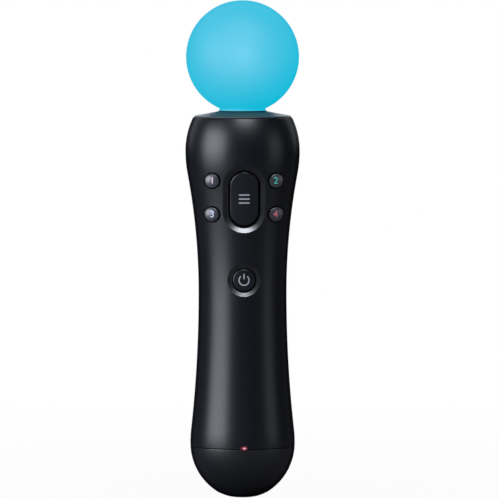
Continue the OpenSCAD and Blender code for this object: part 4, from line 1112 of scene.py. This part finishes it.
def floor():
    """A floor of grey paper that is white to the eye and through glass, with the wand's faint shadow."""
    bm = bmesh.new()
    bmesh.ops.create_grid(bm, x_segments=1, y_segments=1, size=FLOOR_SIZE,
                          matrix=Matrix.Translation((0, 0, -FLOOR_DROP * MM)))
    obj = new_object("floor", bm)
    material = bpy.data.materials.new("matt grey paper")
    material.use_nodes = True
    tree = material.node_tree
    tree.nodes.clear()
    rays = add(tree, "ShaderNodeLightPath").outputs
    place = add(tree, "ShaderNodeTexCoord").outputs["Object"]
    away = add(tree, "ShaderNodeVectorMath", {0: place}, operation="LENGTH")
    seen = add(tree, "ShaderNodeMath", {0: rays["Is Camera Ray"], 1: rays["Is Transmission Ray"]},
               operation="MAXIMUM")
    white = add(tree, "ShaderNodeMapRange", {"Value": away.outputs["Value"], "To Min": SHADOW_WHITE,
                                             "From Min": SHADOW_REACH[0], "From Max": SHADOW_REACH[1]})
    share = add(tree, "ShaderNodeMath", {0: seen.outputs["Value"], 1: white.outputs["Result"]},
                operation="MULTIPLY")
    paper = add(tree, "ShaderNodeBsdfDiffuse", {"Color": colour(PAPER)})
    glow = add(tree, "ShaderNodeEmission")
    mix = add(tree, "ShaderNodeMixShader", {0: share.outputs["Value"], 1: paper.outputs["BSDF"],
                                            2: glow.outputs["Emission"]})
    add(tree, "ShaderNodeOutputMaterial", {"Surface": mix.outputs["Shader"]})
    obj.data.materials.append(material)


def studio():
    """A dim room that is white where the eye looks past the floor."""
    world = bpy.data.worlds.new("studio")
    bpy.context.scene.world = world
    world.use_nodes = True
    tree = world.node_tree
    tree.nodes.clear()
    seen = add(tree, "ShaderNodeLightPath").outputs["Is Camera Ray"]
    level = add(tree, "ShaderNodeMath", {0: seen, 1: ROOM_LEVEL}, operation="MAXIMUM")
    room = add(tree, "ShaderNodeBackground", {"Color": (1.0, 1.0, 1.0, 1.0),
                                              "Strength": level.outputs["Value"]})
    add(tree, "ShaderNodeOutputWorld", {"Surface": room.outputs["Background"]})


def aim_lamp(name, lamp, azimuth, elevation, far, height):
    """Places a lamp around the wand so that it faces the axis at a height."""
    obj = bpy.data.objects.new(name, lamp)
    a, e = math.radians(azimuth), math.radians(elevation)
    back = Vector((math.sin(a) * math.cos(e), -math.cos(a) * math.cos(e), math.sin(e)))
    obj.location = Vector((0, 0, height * MM)) + back * far
    obj.rotation_mode = "QUATERNION"
    obj.rotation_quaternion = back.to_track_quat("Z", "Y")
    bpy.context.scene.collection.objects.link(obj)


def softbox(name, azimuth, elevation, wide, tall, watts):
    """A soft panel light that faces the middle of the wand."""
    lamp = bpy.data.lights.new(name, "AREA")
    lamp.shape = "RECTANGLE"
    lamp.size = wide
    lamp.size_y = tall
    lamp.energy = watts
    lamp.color = colour(DAYLIGHT)[:3]
    aim_lamp(name, lamp, azimuth, elevation, SOFTBOX_FAR, AIM_Z)


def ball_spot():
    """A snooted lamp that lights the ball alone."""
    lamp = bpy.data.lights.new("ball_spot", "SPOT")
    lamp.energy = SPOT["watts"]
    lamp.shadow_soft_size = SPOT_SOFT
    lamp.spot_size = 2 * math.atan((BALL_R + SPOT["margin"]) * MM / SPOT["far"])
    lamp.spot_blend = SPOT_BLEND
    aim_lamp("ball_spot", lamp, SPOT["azimuth"], SPOT["elevation"], SPOT["far"], BALL_Z + SPOT["above"])


def camera():
    """The photograph's view: a long lens, a little above the wand and to its left."""
    data = bpy.data.cameras.new("camera")
    data.sensor_width = SENSOR_MM
    data.lens = SENSOR_MM * CAMERA_FAR * PX_PER_MM / PHOTO_PX
    data.clip_end = CLIP_FAR
    obj = bpy.data.objects.new("camera", data)
    turn = math.radians(CAMERA_TURN)
    aim = Vector((AIM_X * math.cos(turn), AIM_X * math.sin(turn), AIM_Z))
    eye = aim + Vector((math.sin(turn) * CAMERA_FAR, -math.cos(turn) * CAMERA_FAR, CAMERA_HIGH - AIM_Z))
    obj.location = eye * MM
    obj.rotation_mode = "QUATERNION"
    obj.rotation_quaternion = (aim - eye).to_track_quat("-Z", "Y")
    bpy.context.scene.collection.objects.link(obj)
    bpy.context.scene.camera = obj


camera()
dress_cad_nodes()
front_casing()
rear_casing()
end_cap()
collar()
glow_ball()
front_key("oval_key", OVAL, "oval_button")
front_key("home_key", HOME, "home_button")
for number, place in enumerate(ROUND_PLACES, 1):
    round_key(number, place)
oval_mark()
home_mark()
side_key("right_key", 1, "right_button")
side_key("left_key", -1, "left_button")
trigger()
return_spring()
status_light()
floor()
studio()
for name, setting in SOFTBOXES.items():
    softbox(name, *setting)
ball_spot()
bpy.context.scene.view_settings.view_transform = "Standard"
